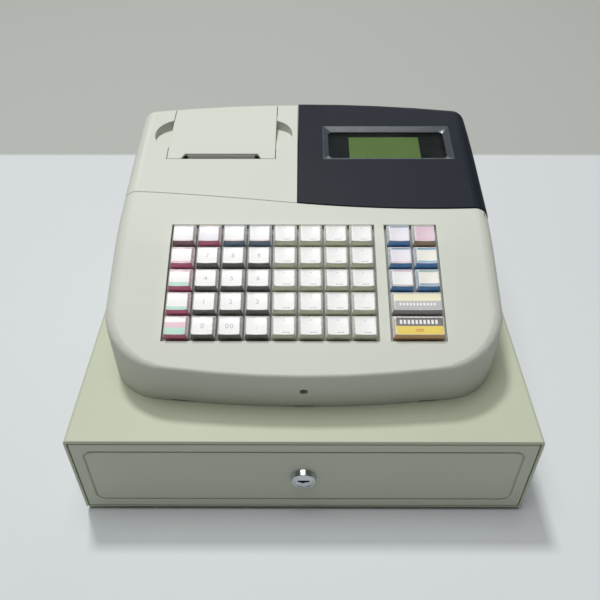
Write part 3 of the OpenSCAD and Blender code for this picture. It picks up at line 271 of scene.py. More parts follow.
def turned_metal(name, tone, roughness, along=(40, 1, 1), size=0.6):
    """Turned, drawn or plated metal: fine lines round or along the piece stretch highlights."""
    material, tree, shader, place = begin(name, tone, roughness, Metallic=1.0)
    laid = add(tree, "Mapping", {"Scale": [1 / a for a in along]}, {"Vector": place})
    lines = add(tree, "TexNoise", {"Scale": per_metre(size), "Detail": 3.0}, {"Vector": laid})
    rough = add(tree, "MapRange", {"To Min": roughness - 0.08, "To Max": roughness + 0.12},
                {"Value": lines})
    relief = add(tree, "Bump", {"Strength": 0.5, "Distance": 0.01 * MM}, {"Height": lines})
    feed(tree, shader, {"Base Color": drift(tree, place, tone, 12, 0.9, 1.05),
                        "Normal": relief, "Roughness": rough})
    return material


def moulded_rubber(name, tone):
    """Moulded rubber: near black, dull, with a bloom of lighter dust."""
    material, tree, shader, place = begin(name, tone, 0.8, IOR=1.5)
    base = worn_edges(tree, drift(tree, place, tone, 9, 0.8, 1.5), linear("#4a4a48"), 0.53, 0.65)
    feed(tree, shader, {"Base Color": base, "Normal": grain(tree, place, 0.7, 0.03)})
    return material


def clear_polycarbonate(name, tint, haze, shine, blur, spots, dimples=0.0, least=0.25):
    """Clear moulded plastic: it shows what lies under it, through a mirror-like film and a little
    milkiness in spots, with the least share of that milkiness between them. Strong milkiness, as on
    the caps' sides, is painted light: its white spots stand in for glints and for light that the
    clear walls refract. Dimples, in millimetres deep, break up the light as thick moulded edges do."""
    material, tree, shader, place = begin(name, linear("#f6f7f5"), 0.35, IOR=1.5)
    through = add(tree, "BsdfTransparent", {"Color": (*tint, 1)})
    mirror = add(tree, "BsdfGlossy", {"Roughness": blur})
    # The film mirrors alike from both sides, because light passes straight through the thin wall.
    # It follows Schlick's rule: the share straight on, and up to all of it at a glance.
    facing = add(tree, "LayerWeight", {"Blend": 0.5}).outputs["Facing"]
    steep = add(tree, "Math", {"operation": "POWER", 1: 5.0}, {0: facing})
    straight = ((shine - 1) / (shine + 1)) ** 2
    film = add(tree, "MapRange", {"To Min": straight, "To Max": 1.0}, {"Value": steep})
    clear = add(tree, "MixShader", {}, {0: film, 1: through, 2: mirror})
    cloud = add(tree, "TexNoise", {"Scale": per_metre(spots), "Detail": 3.0}, {"Vector": place})
    # Weak milkiness is the plastic's real clouding; strong milkiness is painted light, standing in
    # for glints and for light that the clear walls refract.
    haze_and_glint_share = add(tree, "MapRange", {"From Min": 0.35, "From Max": 0.7, "To Min": haze * least,
                                  "To Max": haze}, {"Value": cloud})
    if dimples:
        relief = grain(tree, place, spots, dimples)
        feed(tree, shader, {"Normal": relief})
        feed(tree, mirror, {"Normal": relief})
    mixed = add(tree, "MixShader", {}, {0: haze_and_glint_share, 1: clear, 2: shader})
    feed(tree, tree.get_output_node("ALL"), {"Surface": mixed})
    return material


def printed_card(name, tone):
    """Uncoated legend card: matt, with paper fibres 1 mm long that just break the flat print."""
    material, tree, shader, place = begin(name, tone, 0.75, IOR=1.45)
    feed(tree, shader, {"Base Color": drift(tree, place, tone, 1, 0.96, 1.02),
                        "Normal": grain(tree, place, 0.8, 0.01)})
    return material


def wound_paper(name, tone):
    """Thermal paper wound on itself: smooth white, with rings on its ends, drawn 3.8 mm apart so
    that they show. A wave of this texture is 2 pi / 20 of its scale long."""
    material, tree, shader, place = begin(name, tone, 0.6, IOR=1.45)
    rings = add(tree, "TexWave", {"wave_type": "RINGS", "rings_direction": "X", "Detail": 1.0,
                                  "Scale": per_metre(12), "Distortion": 0.6}, {"Vector": place})
    base = add(tree, "Mix", {"data_type": "RGBA", 6: (*tone, 1), 7: (*linear("#cfcdc4"), 1)},
               {0: rings.outputs[1]}).outputs[2]
    feed(tree, shader, {"Base Color": base, "Normal": grain(tree, place, 2, 0.01)})
    return material


def circuit_board(name, tone):
    """Green lacquer over copper tracks: straight lighter lines 1.5 mm apart under a gloss coat."""
    material, tree, shader, place = begin(name, tone, 0.3, IOR=1.5)
    tracks = add(tree, "TexBrick", {
        "Scale": per_metre(5), "Mortar Size": 0.09, "Mortar Smooth": 0.1, "Bias": 0.0,
        "Brick Width": 0.9, "Row Height": 0.3, "Color1": (*tone, 1),
        "Color2": (*linear("#1a5230"), 1), "Mortar": (*linear("#3f8a55"), 1)}, {"Vector": place})
    feed(tree, shader, {"Base Color": tracks})
    return material


def liquid_crystal(name, tone):
    """Reflective liquid crystal glass: an even olive green, a barely darker grid of 0.75 mm."""
    material, tree, shader, place = begin(name, tone, 0.35, IOR=1.5)
    cells = add(tree, "TexBrick", {
        "offset": 0.0, "Scale": per_metre(1.5), "Mortar Size": 0.05, "Mortar Smooth": 0.3,
        "Brick Width": 0.5, "Row Height": 0.5, "Color1": (*tone, 1), "Color2": shaded(tone, 0.97),
        "Mortar": shaded(tone, 0.93)}, {"Vector": place})
    share = clouds(tree, place, 30, 2.0, 0.0, 0.25)
    base = add(tree, "Mix", {"data_type": "RGBA", 7: shaded(tone, 0.8)},
               {0: share, 6: cells}).outputs[2]
    feed(tree, shader, {"Base Color": base})
    return material


# Colours of the legend cards and of the keys' coloured bases
PRINTS = {
    "rose": "#ebc4cd", "mint": "#b7e3d0", "lilac": "#f1edf5", "pink": "#eacfdd", "sky": "#93bad4",
    "denim": "#93aec2", "teal": "#a3cbc6", "cream": "#f7f4eb", "lemon": "#faf3d3",
    "ash": "#c4c1c2", "amber": "#f1d551", "coal": "#747270", "white": "card", "mark": "#a5a8ab",
    "digit": "#b0b2b8", "orange": "#d98a3a",
}
SKIRTS = {
    "plum": "#8b595f", "magenta": "#e0668f", "slate": "#63839b", "umber": "#5c554b",
    "ivory": "#dbdcbe", "blue": "#3489cd", "olive": "#af946b", "charcoal": "#919298",
    "bronze": "#f0bb7c",
}

# Each finish: how it is made, what it is called, its colour, and its own settings
FINISHES = {
    "casing": (spark_textured, "Moulded ivory ABS", "casing", {"roughness": 0.62, "wear": 0.03}),
    "hood": (spark_textured, "Moulded dark grey ABS", "hood",
             {"roughness": 0.6, "size": 0.8, "depth": 0.012, "index": 1.36}),
    "bezel": (polished_mould, "Polished dark grey ABS", "bezel", {"roughness": 0.22}),
    "case": (powder_coated, "Powder-coated steel case", "case", {}),
    "front": (powder_coated, "Powder-coated steel front", "front", {"wear": 0.0}),
    "zinc": (zinc_plated, "Zinc-plated sheet steel", "#b4b8ba", {}),
    "chrome": (turned_metal, "Chrome plate", "#c9cccf",
               {"roughness": 0.14, "along": (1, 1, 1), "size": 3}),
    "steel": (turned_metal, "Drawn bright steel", "#b7babd", {"roughness": 0.3}),
    "screw": (turned_metal, "Nickel-plated steel", "#a9adb0",
              {"roughness": 0.32, "along": (1, 1, 1), "size": 1}),
    "brass": (turned_metal, "Turned brass", "#c9a45c", {"roughness": 0.28}),
    "aluminium": (turned_metal, "Extruded aluminium", "#c3c6c9", {"roughness": 0.36}),
    "black": (spark_textured, "Moulded black ABS", "#1d1e20", {"depth": 0.015, "wear": 0.5}),
    "tray": (spark_textured, "Moulded black polystyrene", "#2a2c2f",
             {"roughness": 0.55, "size": 1.2, "depth": 0.03, "wear": 0.4}),
    "coins": (spark_textured, "Moulded grey polystyrene", "#55585c",
              {"size": 1.2, "depth": 0.03, "wear": 0.2}),
    "grey": (spark_textured, "Moulded grey ABS", "#bcbeb6", {"roughness": 0.55, "size": 1.2}),
    "frame": (spark_textured, "Moulded glass-filled nylon", "#3b3e41",
              {"size": 1.2, "wear": 0.2}),
    "nylon": (spark_textured, "Moulded white nylon", "#e0ddd0",
              {"roughness": 0.45, "size": 0.8, "depth": 0.01}),
    "rubber": (moulded_rubber, "Moulded rubber", "#202122", {}),
    "platen": (moulded_rubber, "Ground platen rubber", "#2a2b2d", {}),
    "smoked": (clear_polycarbonate, "Smoked acrylic sheet", "#e6e9e8",
               {"haze": 0.012, "shine": 1.5, "blur": 0.03, "spots": 30}),
    "cap_clear": (clear_polycarbonate, "Clear moulded polycarbonate", "#fbfbfb",
                  {"haze": 0.04, "shine": 1.45, "blur": 0.3, "spots": 6}),
    # The caps' fronts are milkier than their tops: beyond the plastic's slight clouding, that
    # milkiness is painted reflection of what lies in front of the keys.
    "cap_front": (clear_polycarbonate, "Clear polycarbonate with a hazy front", "#fbfbfb",
                  {"haze": 0.1, "shine": 1.49, "blur": 0.1, "spots": 4, "dimples": 0.03}),
    # The caps' sides carry strong milky spots: painted glints, standing in for light that the clear
    # walls refract and reflect.
    "cap_side": (clear_polycarbonate, "Clear polycarbonate with milky edges", "#f7f8f7",
                 {"haze": 0.86, "shine": 1.6, "blur": 0.2, "spots": 1.4, "dimples": 0.1,
                  "least": 0.6}),
    "screen": (liquid_crystal, "Liquid crystal glass", "screen", {}),
    "panel": (polished_mould, "Dark acrylic sheet", "#0c1519", {"roughness": 0.15}),
    "paper": (wound_paper, "Wound thermal paper", "#f1f0ea", {}),
    "thermal": (printed_card, "Smooth thermal paper", "#efeee8", {}),
    "board": (circuit_board, "Lacquered glass-fibre board", "#1f5c37", {}),
}


def finish(key):
    """The material of that key, made once."""
    if key in PRINTS:
        make, name, code, settings = printed_card, "Printed card in " + key, PRINTS[key], {}
    elif key in SKIRTS:
        make, name, code = polished_mould, "Two-shot ABS in " + key, SKIRTS[key]
        settings = {"roughness": 0.32}
    else:
        make, name, code, settings = FINISHES[key]
    tone = linear(code) if code.startswith("#") else tuple(getattr(colours(), code))
    return bpy.data.materials.get(name) or make(name, tone, **settings)


# Meshes

SAME_POINT = 2e-6
FLAT = math.radians(0.05)
EDGE_TURN = math.radians(30)
SHARP_TURN = math.radians(50)


def placed(name, data):
    """A new object in the scene."""
    made = bpy.data.objects.new(name, data)
    bpy.context.scene.collection.objects.link(made)
    return made


def settled(made):
    """The mesh that an object's modifiers or its text come to. The object itself is removed."""
    view = bpy.context.evaluated_depsgraph_get()
    mesh = bpy.data.meshes.new_from_object(made.evaluated_get(view), preserve_all_data_layers=True,
                                           depsgraph=view)
    bpy.data.objects.remove(made)
    return mesh


def piece(name, mesh, node, place=None):
    """A finished mesh as a piece that rides with a CAD node."""
    made = placed(name, mesh)
    if place:
        made.matrix_world = place
    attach(made, NODES[node]["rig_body"])
    return made


def mesh_of(form, name, finishes, sharp=40):
    """A mesh made from a bmesh, smooth but for edges sharper than the given angle."""
    bmesh.ops.recalc_face_normals(form, faces=form.faces)
    mesh = bpy.data.meshes.new(name)
    form.to_mesh(mesh)
    form.free()
    for key in finishes:
        mesh.materials.append(finish(key))
    mesh.shade_smooth()
    mesh.set_sharp_from_angle(angle=math.radians(sharp))
    return mesh


def paint(key, *nodes):
    """Gives carried CAD nodes their finish."""
    for node in nodes:
        if not NODES[node].material_slots:
            raise RuntimeError(f"{node} has no material slot")
        for entry in NODES[node].material_slots:
            entry.link = "OBJECT"
            entry.material = finish(key)


def dress(node, key, edge, parts=(), origin=None, segments=2, leave=None):
    """A copy of a CAD node with its outer edges rounded, in its finish, which stands for the node.
    parts lists further finishes with a test of a face's centre in millimetres. origin is where the
    copy's own coordinates start. leave tests an edge's middle in millimetres: where it is true,
    the edge stays sharp."""
    mesh = NODES[node].data.copy()
    for name in ("custom_normal", "sharp_face", "sharp_edge"):
        if name in mesh.attributes:
            mesh.attributes.remove(mesh.attributes[name])
    mesh.materials.clear()
    form = bmesh.new()
    form.from_mesh(mesh)
    bmesh.ops.remove_doubles(form, verts=form.verts, dist=SAME_POINT)
    bmesh.ops.dissolve_limit(form, angle_limit=FLAT, verts=form.verts, edges=form.edges)
    weight = form.edges.layers.float.new("bevel_weight_edge")
    for side in form.edges:
        middle = (side.verts[0].co + side.verts[1].co) / 2 / MM
        turned = side.is_manifold and side.is_convex and side.calc_face_angle(0) > EDGE_TURN
        if turned and not (leave and leave(middle)):
            side[weight] = 1
    for face in form.faces:
        face.material_index = 0
        centre = face.calc_center_median() / MM
        for index, (_, test) in enumerate(parts):
            if test(centre):
                face.material_index = index + 1
    form.to_mesh(mesh)
    form.free()
    mesh.materials.append(finish(key))
    for other, _ in parts:
        mesh.materials.append(finish(other))
    if origin:
        mesh.transform(Matrix.Translation(-Vector(origin)))
    mesh.shade_smooth()
    raw = placed(node + "_raw", mesh)
    if edge:
        bevel = raw.modifiers.new("Rounded edges", "BEVEL")
        bevel.width = edge
        bevel.segments = segments
        bevel.limit_method = "WEIGHT"
        bevel.use_clamp_overlap = False
    mesh.set_sharp_from_angle(angle=SHARP_TURN)
    weighted = raw.modifiers.new("Even shading", "WEIGHTED_NORMAL")
    weighted.keep_sharp = True
    place = Matrix.Translation(origin) if origin else None
    made = piece(node + "_finished", settled(raw), node, place)
    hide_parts(node)
    return made


def cap_ring(left, right, front, rear, height, corner, dish=0.0, more=0):
    """Points round a cap at one height: along its front from left to right, then back along its
    rear. more is how many steps its sides have beyond the four of a single cap."""
    bend = [(corner * (1 - math.cos(a)), corner * (1 - math.sin(a)))
            for a in map(math.radians, (0, 30, 60, 90))]
    steps = 4 + more
    line = [(left + x, y) for x, y in bend]
    line += [(left + corner + (right - left - 2 * corner) * i / steps, 0)
             for i in range(1, steps)]
    line += [(right - x, y) for x, y in reversed(bend)]
    middle, half = (left + right) / 2, (right - left) / 2
    line = [(x, y, height - dish * (1 - ((x - middle) / half) ** 2)) for x, y in line]
    return ([Vector((x, front + y, z)) for x, y, z in line]
            + [Vector((x, rear - y, z)) for x, y, z in reversed(line)])


def loft(form, rings, ends, sides):
    """Skins rings of equally many points, and closes the first and the last from front to rear.
    ends and sides are the numbers of their finishes."""
    rows = [[form.verts.new(p) for p in ring] for ring in rings]
    count = len(rows[0])
    for low, high in zip(rows, rows[1:]):
        for i in range(count):
            j = (i + 1) % count
            form.faces.new((low[i], low[j], high[j], high[i])).material_index = sides
    for row in (rows[0], rows[-1]):
        for i in range(count // 2 - 1):
            face = form.faces.new((row[i], row[i + 1], row[count - 2 - i], row[count - 1 - i]))
            face.material_index = ends


def metres(*point):
    """A point given in millimetres, in metres."""
    return tuple(v * MM for v in point)


def block(form, low, high, index, corner=0.0):
    """A plate with rounded upright edges and a chamfered top, for small flat pieces."""
    (x0, y0, z0), (x1, y1, z1) = low, high
    c = corner or min(x1 - x0, y1 - y0) * 0.2
    t = min(c, (z1 - z0) * 0.3)
    loft(form, [cap_ring(x0, x1, y0, y1, z0, c), cap_ring(x0, x1, y0, y1, z1 - t, c),
                cap_ring(x0 + t, x1 - t, y0 + t, y1 - t, z1, c * 0.7)], index, index)


# Keys

# The keys' rows and columns, and the first column of the right block
ROWS = 5
COLUMNS = 10
RIGHT_BLOCK = 8
# Play between a card and its cap, room for the card between base and cap, how far a key's stem
# reaches below the deck, and how far below it the middle of the keyboard's board lies
CARD_PLAY = 0.05 * MM
CARD_ROOM = 0.22 * MM
STEM_FOOT = 12 * MM
BOARD_DEPTH = 18.3 * MM
WHITE = [(0, 1, "white")]
NUMBERS = [["7", "8", "9"], ["4", "5", "6"], ["1", "2", "3"], ["0", "00", "."]]
SIDE_CARDS = [
    [(0, 0.14, "rose"), (0.14, 0.9, "white"), (0.9, 1, "rose")],
    [(0, 0.24, "mint"), (0.24, 0.86, "white"), (0.86, 1, "rose")],
    [(0, 0.2, "mint"), (0.2, 1, "white")],
    [(0, 0.4, "mint"), (0.4, 0.72, "rose"), (0.72, 1, "white")],
]
OPTION_CARDS = [
    ("blue", [(0, 0.08, "pink"), (0.08, 0.9, "lilac"), (0.9, 1, "denim")]),
    ("olive", [(0, 0.14, "rose"), (0.14, 1, "pink")]),
    ("blue", [(0, 0.14, "pink"), (0.14, 0.88, "lilac"), (0.88, 1, "denim")]),
    ("blue", [(0, 0.16, "sky"), (0.16, 0.86, "cream"), (0.86, 1, "sky")]),
    ("blue", [(0, 0.1, "ash"), (0.1, 0.9, "white"), (0.9, 1, "pink")]),
    ("blue", [(0, 0.18, "denim"), (0.18, 0.88, "cream"), (0.88, 1, "teal")]),
]


# A key's bands are (start, end, colour) from the front of its card to the rear
Key = namedtuple("Key", "node column row cells skirt bands legend")


def key_table():
    """Every key, with the colour of its base as its skirt."""
    for column, skirt in enumerate(["plum", "magenta", "slate", "slate"]):
        bands = [(0, 0.08, "pink" if column < 2 else "rose"),
                 (0.08, 0.93, "lilac" if column == 1 else "white"), (0.93, 1, "lilac")]
        yield Key("function_keys", column, 1, 1, skirt, bands, "")
    for row in range(2, 6):
        yield Key("side_keys", 0, row, 1, "magenta", SIDE_CARDS[row - 2], "")
        for column in (1, 2, 3):
            yield Key(f"number_keys_{row - 1}", column, row, 1, "umber", WHITE,
                      NUMBERS[row - 2][column - 1])
    for row in range(1, 6):
        for column in range(4, 8):
            yield Key(f"department_keys_{row}", column, row, 1, "ivory", WHITE, "bars")
    for n, (skirt, bands) in enumerate(OPTION_CARDS):
        yield Key(f"option_key_{n + 1}", RIGHT_BLOCK + n % 2, n // 2 + 1, 1, skirt, bands, "")
    yield Key("subtotal_key", RIGHT_BLOCK, 4, 2, "charcoal",
              [(0, 0.55, "ash"), (0.55, 1, "lemon")], "strip_white")
    yield Key("total_key", RIGHT_BLOCK, 5, 2, "bronze",
              [(0, 0.5, "amber"), (0.5, 1, "coal")], "strip_total")


def deck_place():
    """The deck's own frame: x across, y up the slope from the lip and z off the deck. It is found
    from the board, whose middle lies under the middle of the keys."""
    low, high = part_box("keyboard_board")
    turn = Matrix.Rotation(DECK_SLOPE, 4, "X")
    s = sizes()
    across = -s.block_left + (COLUMNS * s.pitch + s.block_gap) / 2
    middle = Vector((across, s.keys_start + ROWS / 2 * s.pitch, -BOARD_DEPTH))
    return Matrix.Translation((low + high) / 2 - turn @ middle) @ turn


def cap_sizes(cells, height, inset):
    """Half width, front and rear of a cap at a height above the deck, from its cells' middle."""
    s = sizes()
    share = max(0.0, min(1.0, height / s.cap_height))
    half = s.cap_foot / 2 + (s.cap_top - s.cap_foot) / 2 * share + (cells - 1) * s.pitch / 2
    front = -s.cap_foot / 2 + (s.cap_foot / 2 - s.pitch / 2 + s.cap_front) * share
    rear = s.cap_foot / 2 + (s.pitch / 2 - s.cap_rear - s.cap_foot / 2) * share
    return half - inset, front + inset, rear - inset


def dish_of(cells):
    """How deep a cap is dished: a double one half as deep as a single one."""
    return sizes().cap_dish / cells


def cap_rings(cells, levels):
    """Rings of a cap at levels of (height, inset, share of the dish)."""
    corner, dish = sizes().cap_corner, dish_of(cells)
    rings = []
    for height, inset, share in levels:
        half, front, rear = cap_sizes(cells, height, inset)
        rings.append(cap_ring(-half, half, front, rear, height, corner, dish * share,
                              4 * (cells - 1)))
    return rings


def shift(rings, x, y):
    return [[p + Vector((x, y, 0)) for p in ring] for ring in rings]


def written(form, text, size, x, y, height, index):
    """Digits printed on a card. height gives the card's surface at a distance from x."""
    curve = bpy.data.curves.new("digit", "FONT")
    curve.body = text
    curve.size = size
    curve.align_x = curve.align_y = "CENTER"
    curve.space_character = 1.2
    mesh = settled(placed("digit", curve))
    for vertex in mesh.vertices:
        across = vertex.co.x
        vertex.co = (x + across, y + vertex.co.y, height(across))
    before = len(form.faces)
    form.from_mesh(mesh)
    form.faces.ensure_lookup_table()
    for face in form.faces[before:]:
        face.material_index = index
    bpy.data.meshes.remove(mesh)


def card_of(form, finishes, x, y, key):
    """A key's legend card in printed bands, dished as its cap is, with small marks."""
    s = sizes()
    top = s.cap_height - s.cap_shell - CARD_PLAY
    inset = s.cap_shell + CARD_PLAY
    half, front, rear = cap_sizes(key.cells, top, inset)
    dish = dish_of(key.cells)
    steps = 8 * key.cells
    depth = rear - front

    def at(u, v, lift=0.0):
        return Vector((x + half * u, y + front + depth * v, top - dish * (1 - u * u) + lift))

    down = Vector((0, 0, s.card))
    for start, end, tone in key.bands:
        index = finishes.index(tone)
        for i in range(steps):
            u0, u1 = 2 * i / steps - 1, 2 * (i + 1) / steps - 1
            corners = [at(u0, start), at(u1, start), at(u1, end), at(u0, end)]
            upper = [form.verts.new(p) for p in corners]
            lower = [form.verts.new(p - down) for p in corners]
            for ring in (upper, lower[::-1]):
                form.faces.new(ring).material_index = index
            for a in range(4):
                b = (a + 1) % 4
                if a in (0, 2) or (a == 3 and i == 0) or (a == 1 and i == steps - 1):
                    wall = upper[b], upper[a], lower[a], lower[b]
                    form.faces.new(wall).material_index = index

    def bars(count, first, step, width, v0, v1, tone):
        for i in range(count):
            u = first + i * step
            ends = ((u, v0), (u + width, v0), (u + width, v1), (u, v1))
            points = [form.verts.new(at(*end, s.print_lift)) for end in ends]
            form.faces.new(points).material_index = finishes.index(tone)

    if key.legend == "bars":
        bars(3, -0.1, 0.24, 0.16, 0.1, 0.15, "mark")
        bars(1, -0.06, 0, 0.12, 0.83, 0.87, "mark")
    elif key.legend == "strip_white":
        bars(11, -0.78, 0.145, 0.09, 0.27, 0.42, "white")
    elif key.legend == "strip_total":
        bars(10, -0.82, 0.165, 0.1, 0.62, 0.86, "white")
        bars(1, -0.16, 0, 0.32, 0.27, 0.32, "orange")
        bars(1, -0.16, 0, 0.32, 0.18, 0.23, "orange")
    elif key.legend:
        written(form, key.legend, s.digit, x, y + front + depth * 0.48,
                lambda across: at(across / half, 0, 2 * s.print_lift).z, finishes.index("digit"))


def key_layers(members, prints):
    """The base, card and clear cap of all the keys of a node, as three forms."""
    s = sizes()
    skirts = list(dict.fromkeys(key.skirt for key in members))
    bases, cards, covers = bmesh.new(), bmesh.new(), bmesh.new()
    top, shell, stem = s.cap_height, s.cap_shell, s.stem
    under = top - shell - CARD_ROOM
    for key in members:
        gap = s.block_gap if key.column >= RIGHT_BLOCK else 0
        x = -s.block_left + key.column * s.pitch + gap + key.cells * s.pitch / 2
        y = s.keys_start + (ROWS - key.row + 0.5) * s.pitch
        tone = skirts.index(key.skirt)
        base = cap_rings(key.cells, [
            (-s.foot, 0.15 * MM, 0), (0.5 * MM, 0.15 * MM, 0), (0.7 * MM, shell, 0),
            (under - 0.5 * MM, shell + CARD_PLAY, 0.6), (under, shell + 0.3 * MM, 1)])
        loft(bases, shift(base, x, y), tone, tone)
        post = [cap_ring(-stem, stem, -stem, stem, height, 0.4 * MM)
                for height in (-STEM_FOOT, -s.foot)]
        loft(bases, shift(post, x, y), tone, tone)
        card_of(cards, prints, x, y, key)
        cover = cap_rings(key.cells, [
            (-2.8 * MM, 0.02 * MM, 0), (0.3 * MM, 0, 0), (0.45 * MM, 0.1 * MM, 0),
            (top / 2, 0.1 * MM, 0), (top - 0.6 * MM, 0, 0.3), (top - 0.2 * MM, 0.12 * MM, 0.8),
            (top, 0.5 * MM, 1)])
        loft(covers, shift(cover, x, y), 0, 1)
    # The front of a cap has its own finish, whose extra milkiness is painted reflection; the rest
    # of its sides carry painted glints
    bmesh.ops.recalc_face_normals(covers, faces=covers.faces)
    for face in covers.faces:
        face.normal_update()
        if face.normal.y < -0.6:
            face.material_index = 2
    return (("bases", bases, skirts, 40), ("cards", cards, prints, 20),
            ("caps", covers, ["cap_clear", "cap_side", "cap_front"], 40))


def build_keys():
    """Every node's keys in three pieces. The coloured bases stand for the node."""
    place = deck_place()
    table = list(key_table())
    for node in dict.fromkeys(key.node for key in table):
        members = [key for key in table if key.node == node]
        prints = list(dict.fromkeys([tone for key in members for _, _, tone in key.bands]
                                    + ["white", "mark", "digit", "orange"]))
        for layer, form, finishes, sharp in key_layers(members, prints):
            name = f"{node}_{layer}"
            made = piece(name, mesh_of(form, name, finishes, sharp), node, place)
            if layer == "bases":
                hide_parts(node)


# Operators

class Undoable:
    """Lets each run of an operator be undone"""
    bl_options = {"REGISTER", "UNDO"}


class REGISTER_OT_case(Undoable, bpy.types.Operator):
    """The drawer's folded steel case with its base pan, feet and screws"""
    bl_idname = "register.case"
    bl_label = "Drawer case"

    def execute(self, context):
        s = sizes()
        dress("drawer_case", "case", s.sheet_edge)
        dress("case_base", "case", s.sheet_edge)
        dress("rubber_feet", "rubber", 2 * s.small_edge)
        dress("casing_screws", "screw", 0)
        return {"FINISHED"}


class REGISTER_OT_drawer(Undoable, bpy.types.Operator):
    """The sliding drawer: steel box, painted front and the note and coin trays"""
    bl_idname = "register.drawer"
    bl_label = "Drawer"

    def execute(self, context):
        s = sizes()
        # The edges of the panel's rear side stay sharp
        dress("drawer_front", "front", s.front_edge, segments=3, leave=lambda c: c.y > -165.1)
        paint("zinc", "drawer_tray")
        dress("cash_tray", "tray", s.small_edge)
        dress("coin_tray", "coins", s.sheet_edge)
        paint("steel", "drawer_fittings")
        dress("bill_clips", "black", s.sheet_edge)
        return {"FINISHED"}


class REGISTER_OT_runners(Undoable, bpy.types.Operator):
    """Runner channels with the rollers of the case and of the drawer"""
    bl_idname = "register.runners"
    bl_label = "Runners"

    def execute(self, context):
        s = sizes()
        paint("zinc", "case_runners")
        dress("case_rollers", "nylon", 2 * s.small_edge)
        dress("drawer_rollers", "nylon", 2 * s.small_edge)
        return {"FINISHED"}


class REGISTER_OT_lock(Undoable, bpy.types.Operator):
    """Chromed lock with its plug and cam"""
    bl_idname = "register.lock"
    bl_label = "Lock"

    def execute(self, context):
        s = sizes()
        dress("lock_barrel", "chrome", s.sheet_edge)
        dress("lock_cylinder", "chrome", s.small_edge)
        paint("zinc", "lock_cam")
        return {"FINISHED"}


class REGISTER_OT_latch(Undoable, bpy.types.Operator):
    """Solenoid latch that holds the drawer"""
    bl_idname = "register.latch"
    bl_label = "Latch"

    def execute(self, context):
        paint("zinc", "drawer_latch")
        paint("steel", "latch_hook")
        return {"FINISHED"}


class REGISTER_OT_casing(Undoable, bpy.types.Operator):
    """Moulded casing of the register on its base plate"""
    bl_idname = "register.casing"
    bl_label = "Casing"

    def execute(self, context):
        s = sizes()
        # The small screw hole in the front wall is left as moulded
        dress("upper_casing", "casing", s.casing_edge,
              leave=lambda c: c.y < -130 and math.hypot(c.x, c.z - 106.5) < 9)
        paint("black", "base_plate")
        return {"FINISHED"}


class REGISTER_OT_covers(Undoable, bpy.types.Operator):
    """Printer cover with its finger recesses, and the paper flap"""
    bl_idname = "register.covers"
    bl_label = "Printer covers"

    def execute(self, context):
        s = sizes()
        dress("printer_cover", "casing", s.casing_edge)
        dress("paper_flap", "casing", s.casing_edge)
        return {"FINISHED"}


class REGISTER_OT_display(Undoable, bpy.types.Operator):
    """Dark hood with the bezel, window, circuit board and liquid crystal glass"""
    bl_idname = "register.display"
    bl_label = "Display"

    def execute(self, context):
        s = sizes()
        # The bezel hides the edges of its hole, so they stay as moulded
        dress("display_cover", "hood", s.casing_edge,
              leave=lambda c: 15 < c.x < 128 and 45 < c.y < 94)
        dress("display_bezel", "bezel", s.casing_edge, segments=3)
        dress("display_window", "smoked", s.small_edge)
        low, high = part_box("display_window")
        place = Matrix.Translation((low + high) / 2) @ Matrix.Rotation(DISPLAY_SLOPE, 4, "X")
        # The circuit board is what lies more than 7.3 mm under the window
        window = place.inverted()
        dress("lcd_module", "panel", s.small_edge,
              [("board", lambda c: (window @ (c * MM)).z < -7.3 * MM)])
        form = bmesh.new()
        block(form, metres(-31.9, -15.9, -3.0), metres(28.9, 15.9, -2.15), 0, 0.4 * MM)
        mesh = mesh_of(form, "liquid_crystal", ["screen"])
        piece("liquid_crystal", mesh, "lcd_module", place)
        return {"FINISHED"}


class REGISTER_OT_customer_display(Undoable, bpy.types.Operator):
    """Display for the customer in the rear of the hood, with seven digits"""
    bl_idname = "register.customer_display"
    bl_label = "Customer's display"

    def execute(self, context):
        dress("customer_display", "black", sizes().small_edge)
        low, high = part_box("customer_display")
        form = bmesh.new()
        block(form, metres(-36.8, -7.8, 0), metres(36.8, 7.8, 1), 0, 0.5 * MM)
        for number in range(-3, 4):
            self.digit(form, 9.6 * number)
        # The panel lies 1.15 mm inside the rear of the display
        middle = ((low.x + high.x) / 2, high.y - 1.15 * MM, (low.z + high.z) / 2)
        face = (Matrix.Translation(middle) @ Matrix.Rotation(math.pi, 4, "Z")
                @ Matrix.Rotation(math.pi / 2, 4, "X"))
        mesh = mesh_of(form, "customer_panel", ["panel", "coal"])
        piece("customer_panel", mesh, "customer_display", face)
        return {"FINISHED"}

    def digit(self, form, x):
        """The seven segments of a digit, 9.9 mm high, x mm from the middle of the panel."""
        flat, upright = (1.6, 0.35), (0.35, 1.7)
        for across, up, (w, h) in ((0, 4.6, flat), (0, 0, flat), (0, -4.6, flat),
                                   (2.1, 2.3, upright), (-2.1, 2.3, upright),
                                   (2.1, -2.3, upright), (-2.1, -2.3, upright)):
            x0, x1 = x + across - w, x + across + w
            block(form, metres(x0, up - h, 0.9), metres(x1, up + h, 1.03), 1)


class REGISTER_OT_keyboard(Undoable, bpy.types.Operator):
    """Keyboard frame, switches and board under the keys"""
    bl_idname = "register.keyboard"
    bl_label = "Keyboard"

    def execute(self, context):
        paint("grey", "keyboard_frame")
        paint("black", "key_switches")
        paint("board", "keyboard_board")
        return {"FINISHED"}


class REGISTER_OT_keys(Undoable, bpy.types.Operator):
    """Key caps: coloured bases, legend cards and clear caps"""
    bl_idname = "register.keys"
    bl_label = "Keys"

    def execute(self, context):
        build_keys()
        return {"FINISHED"}


# The faces of the platen's steel shaft lie within this many millimetres of its axis
SHAFT_REACH = 2.6


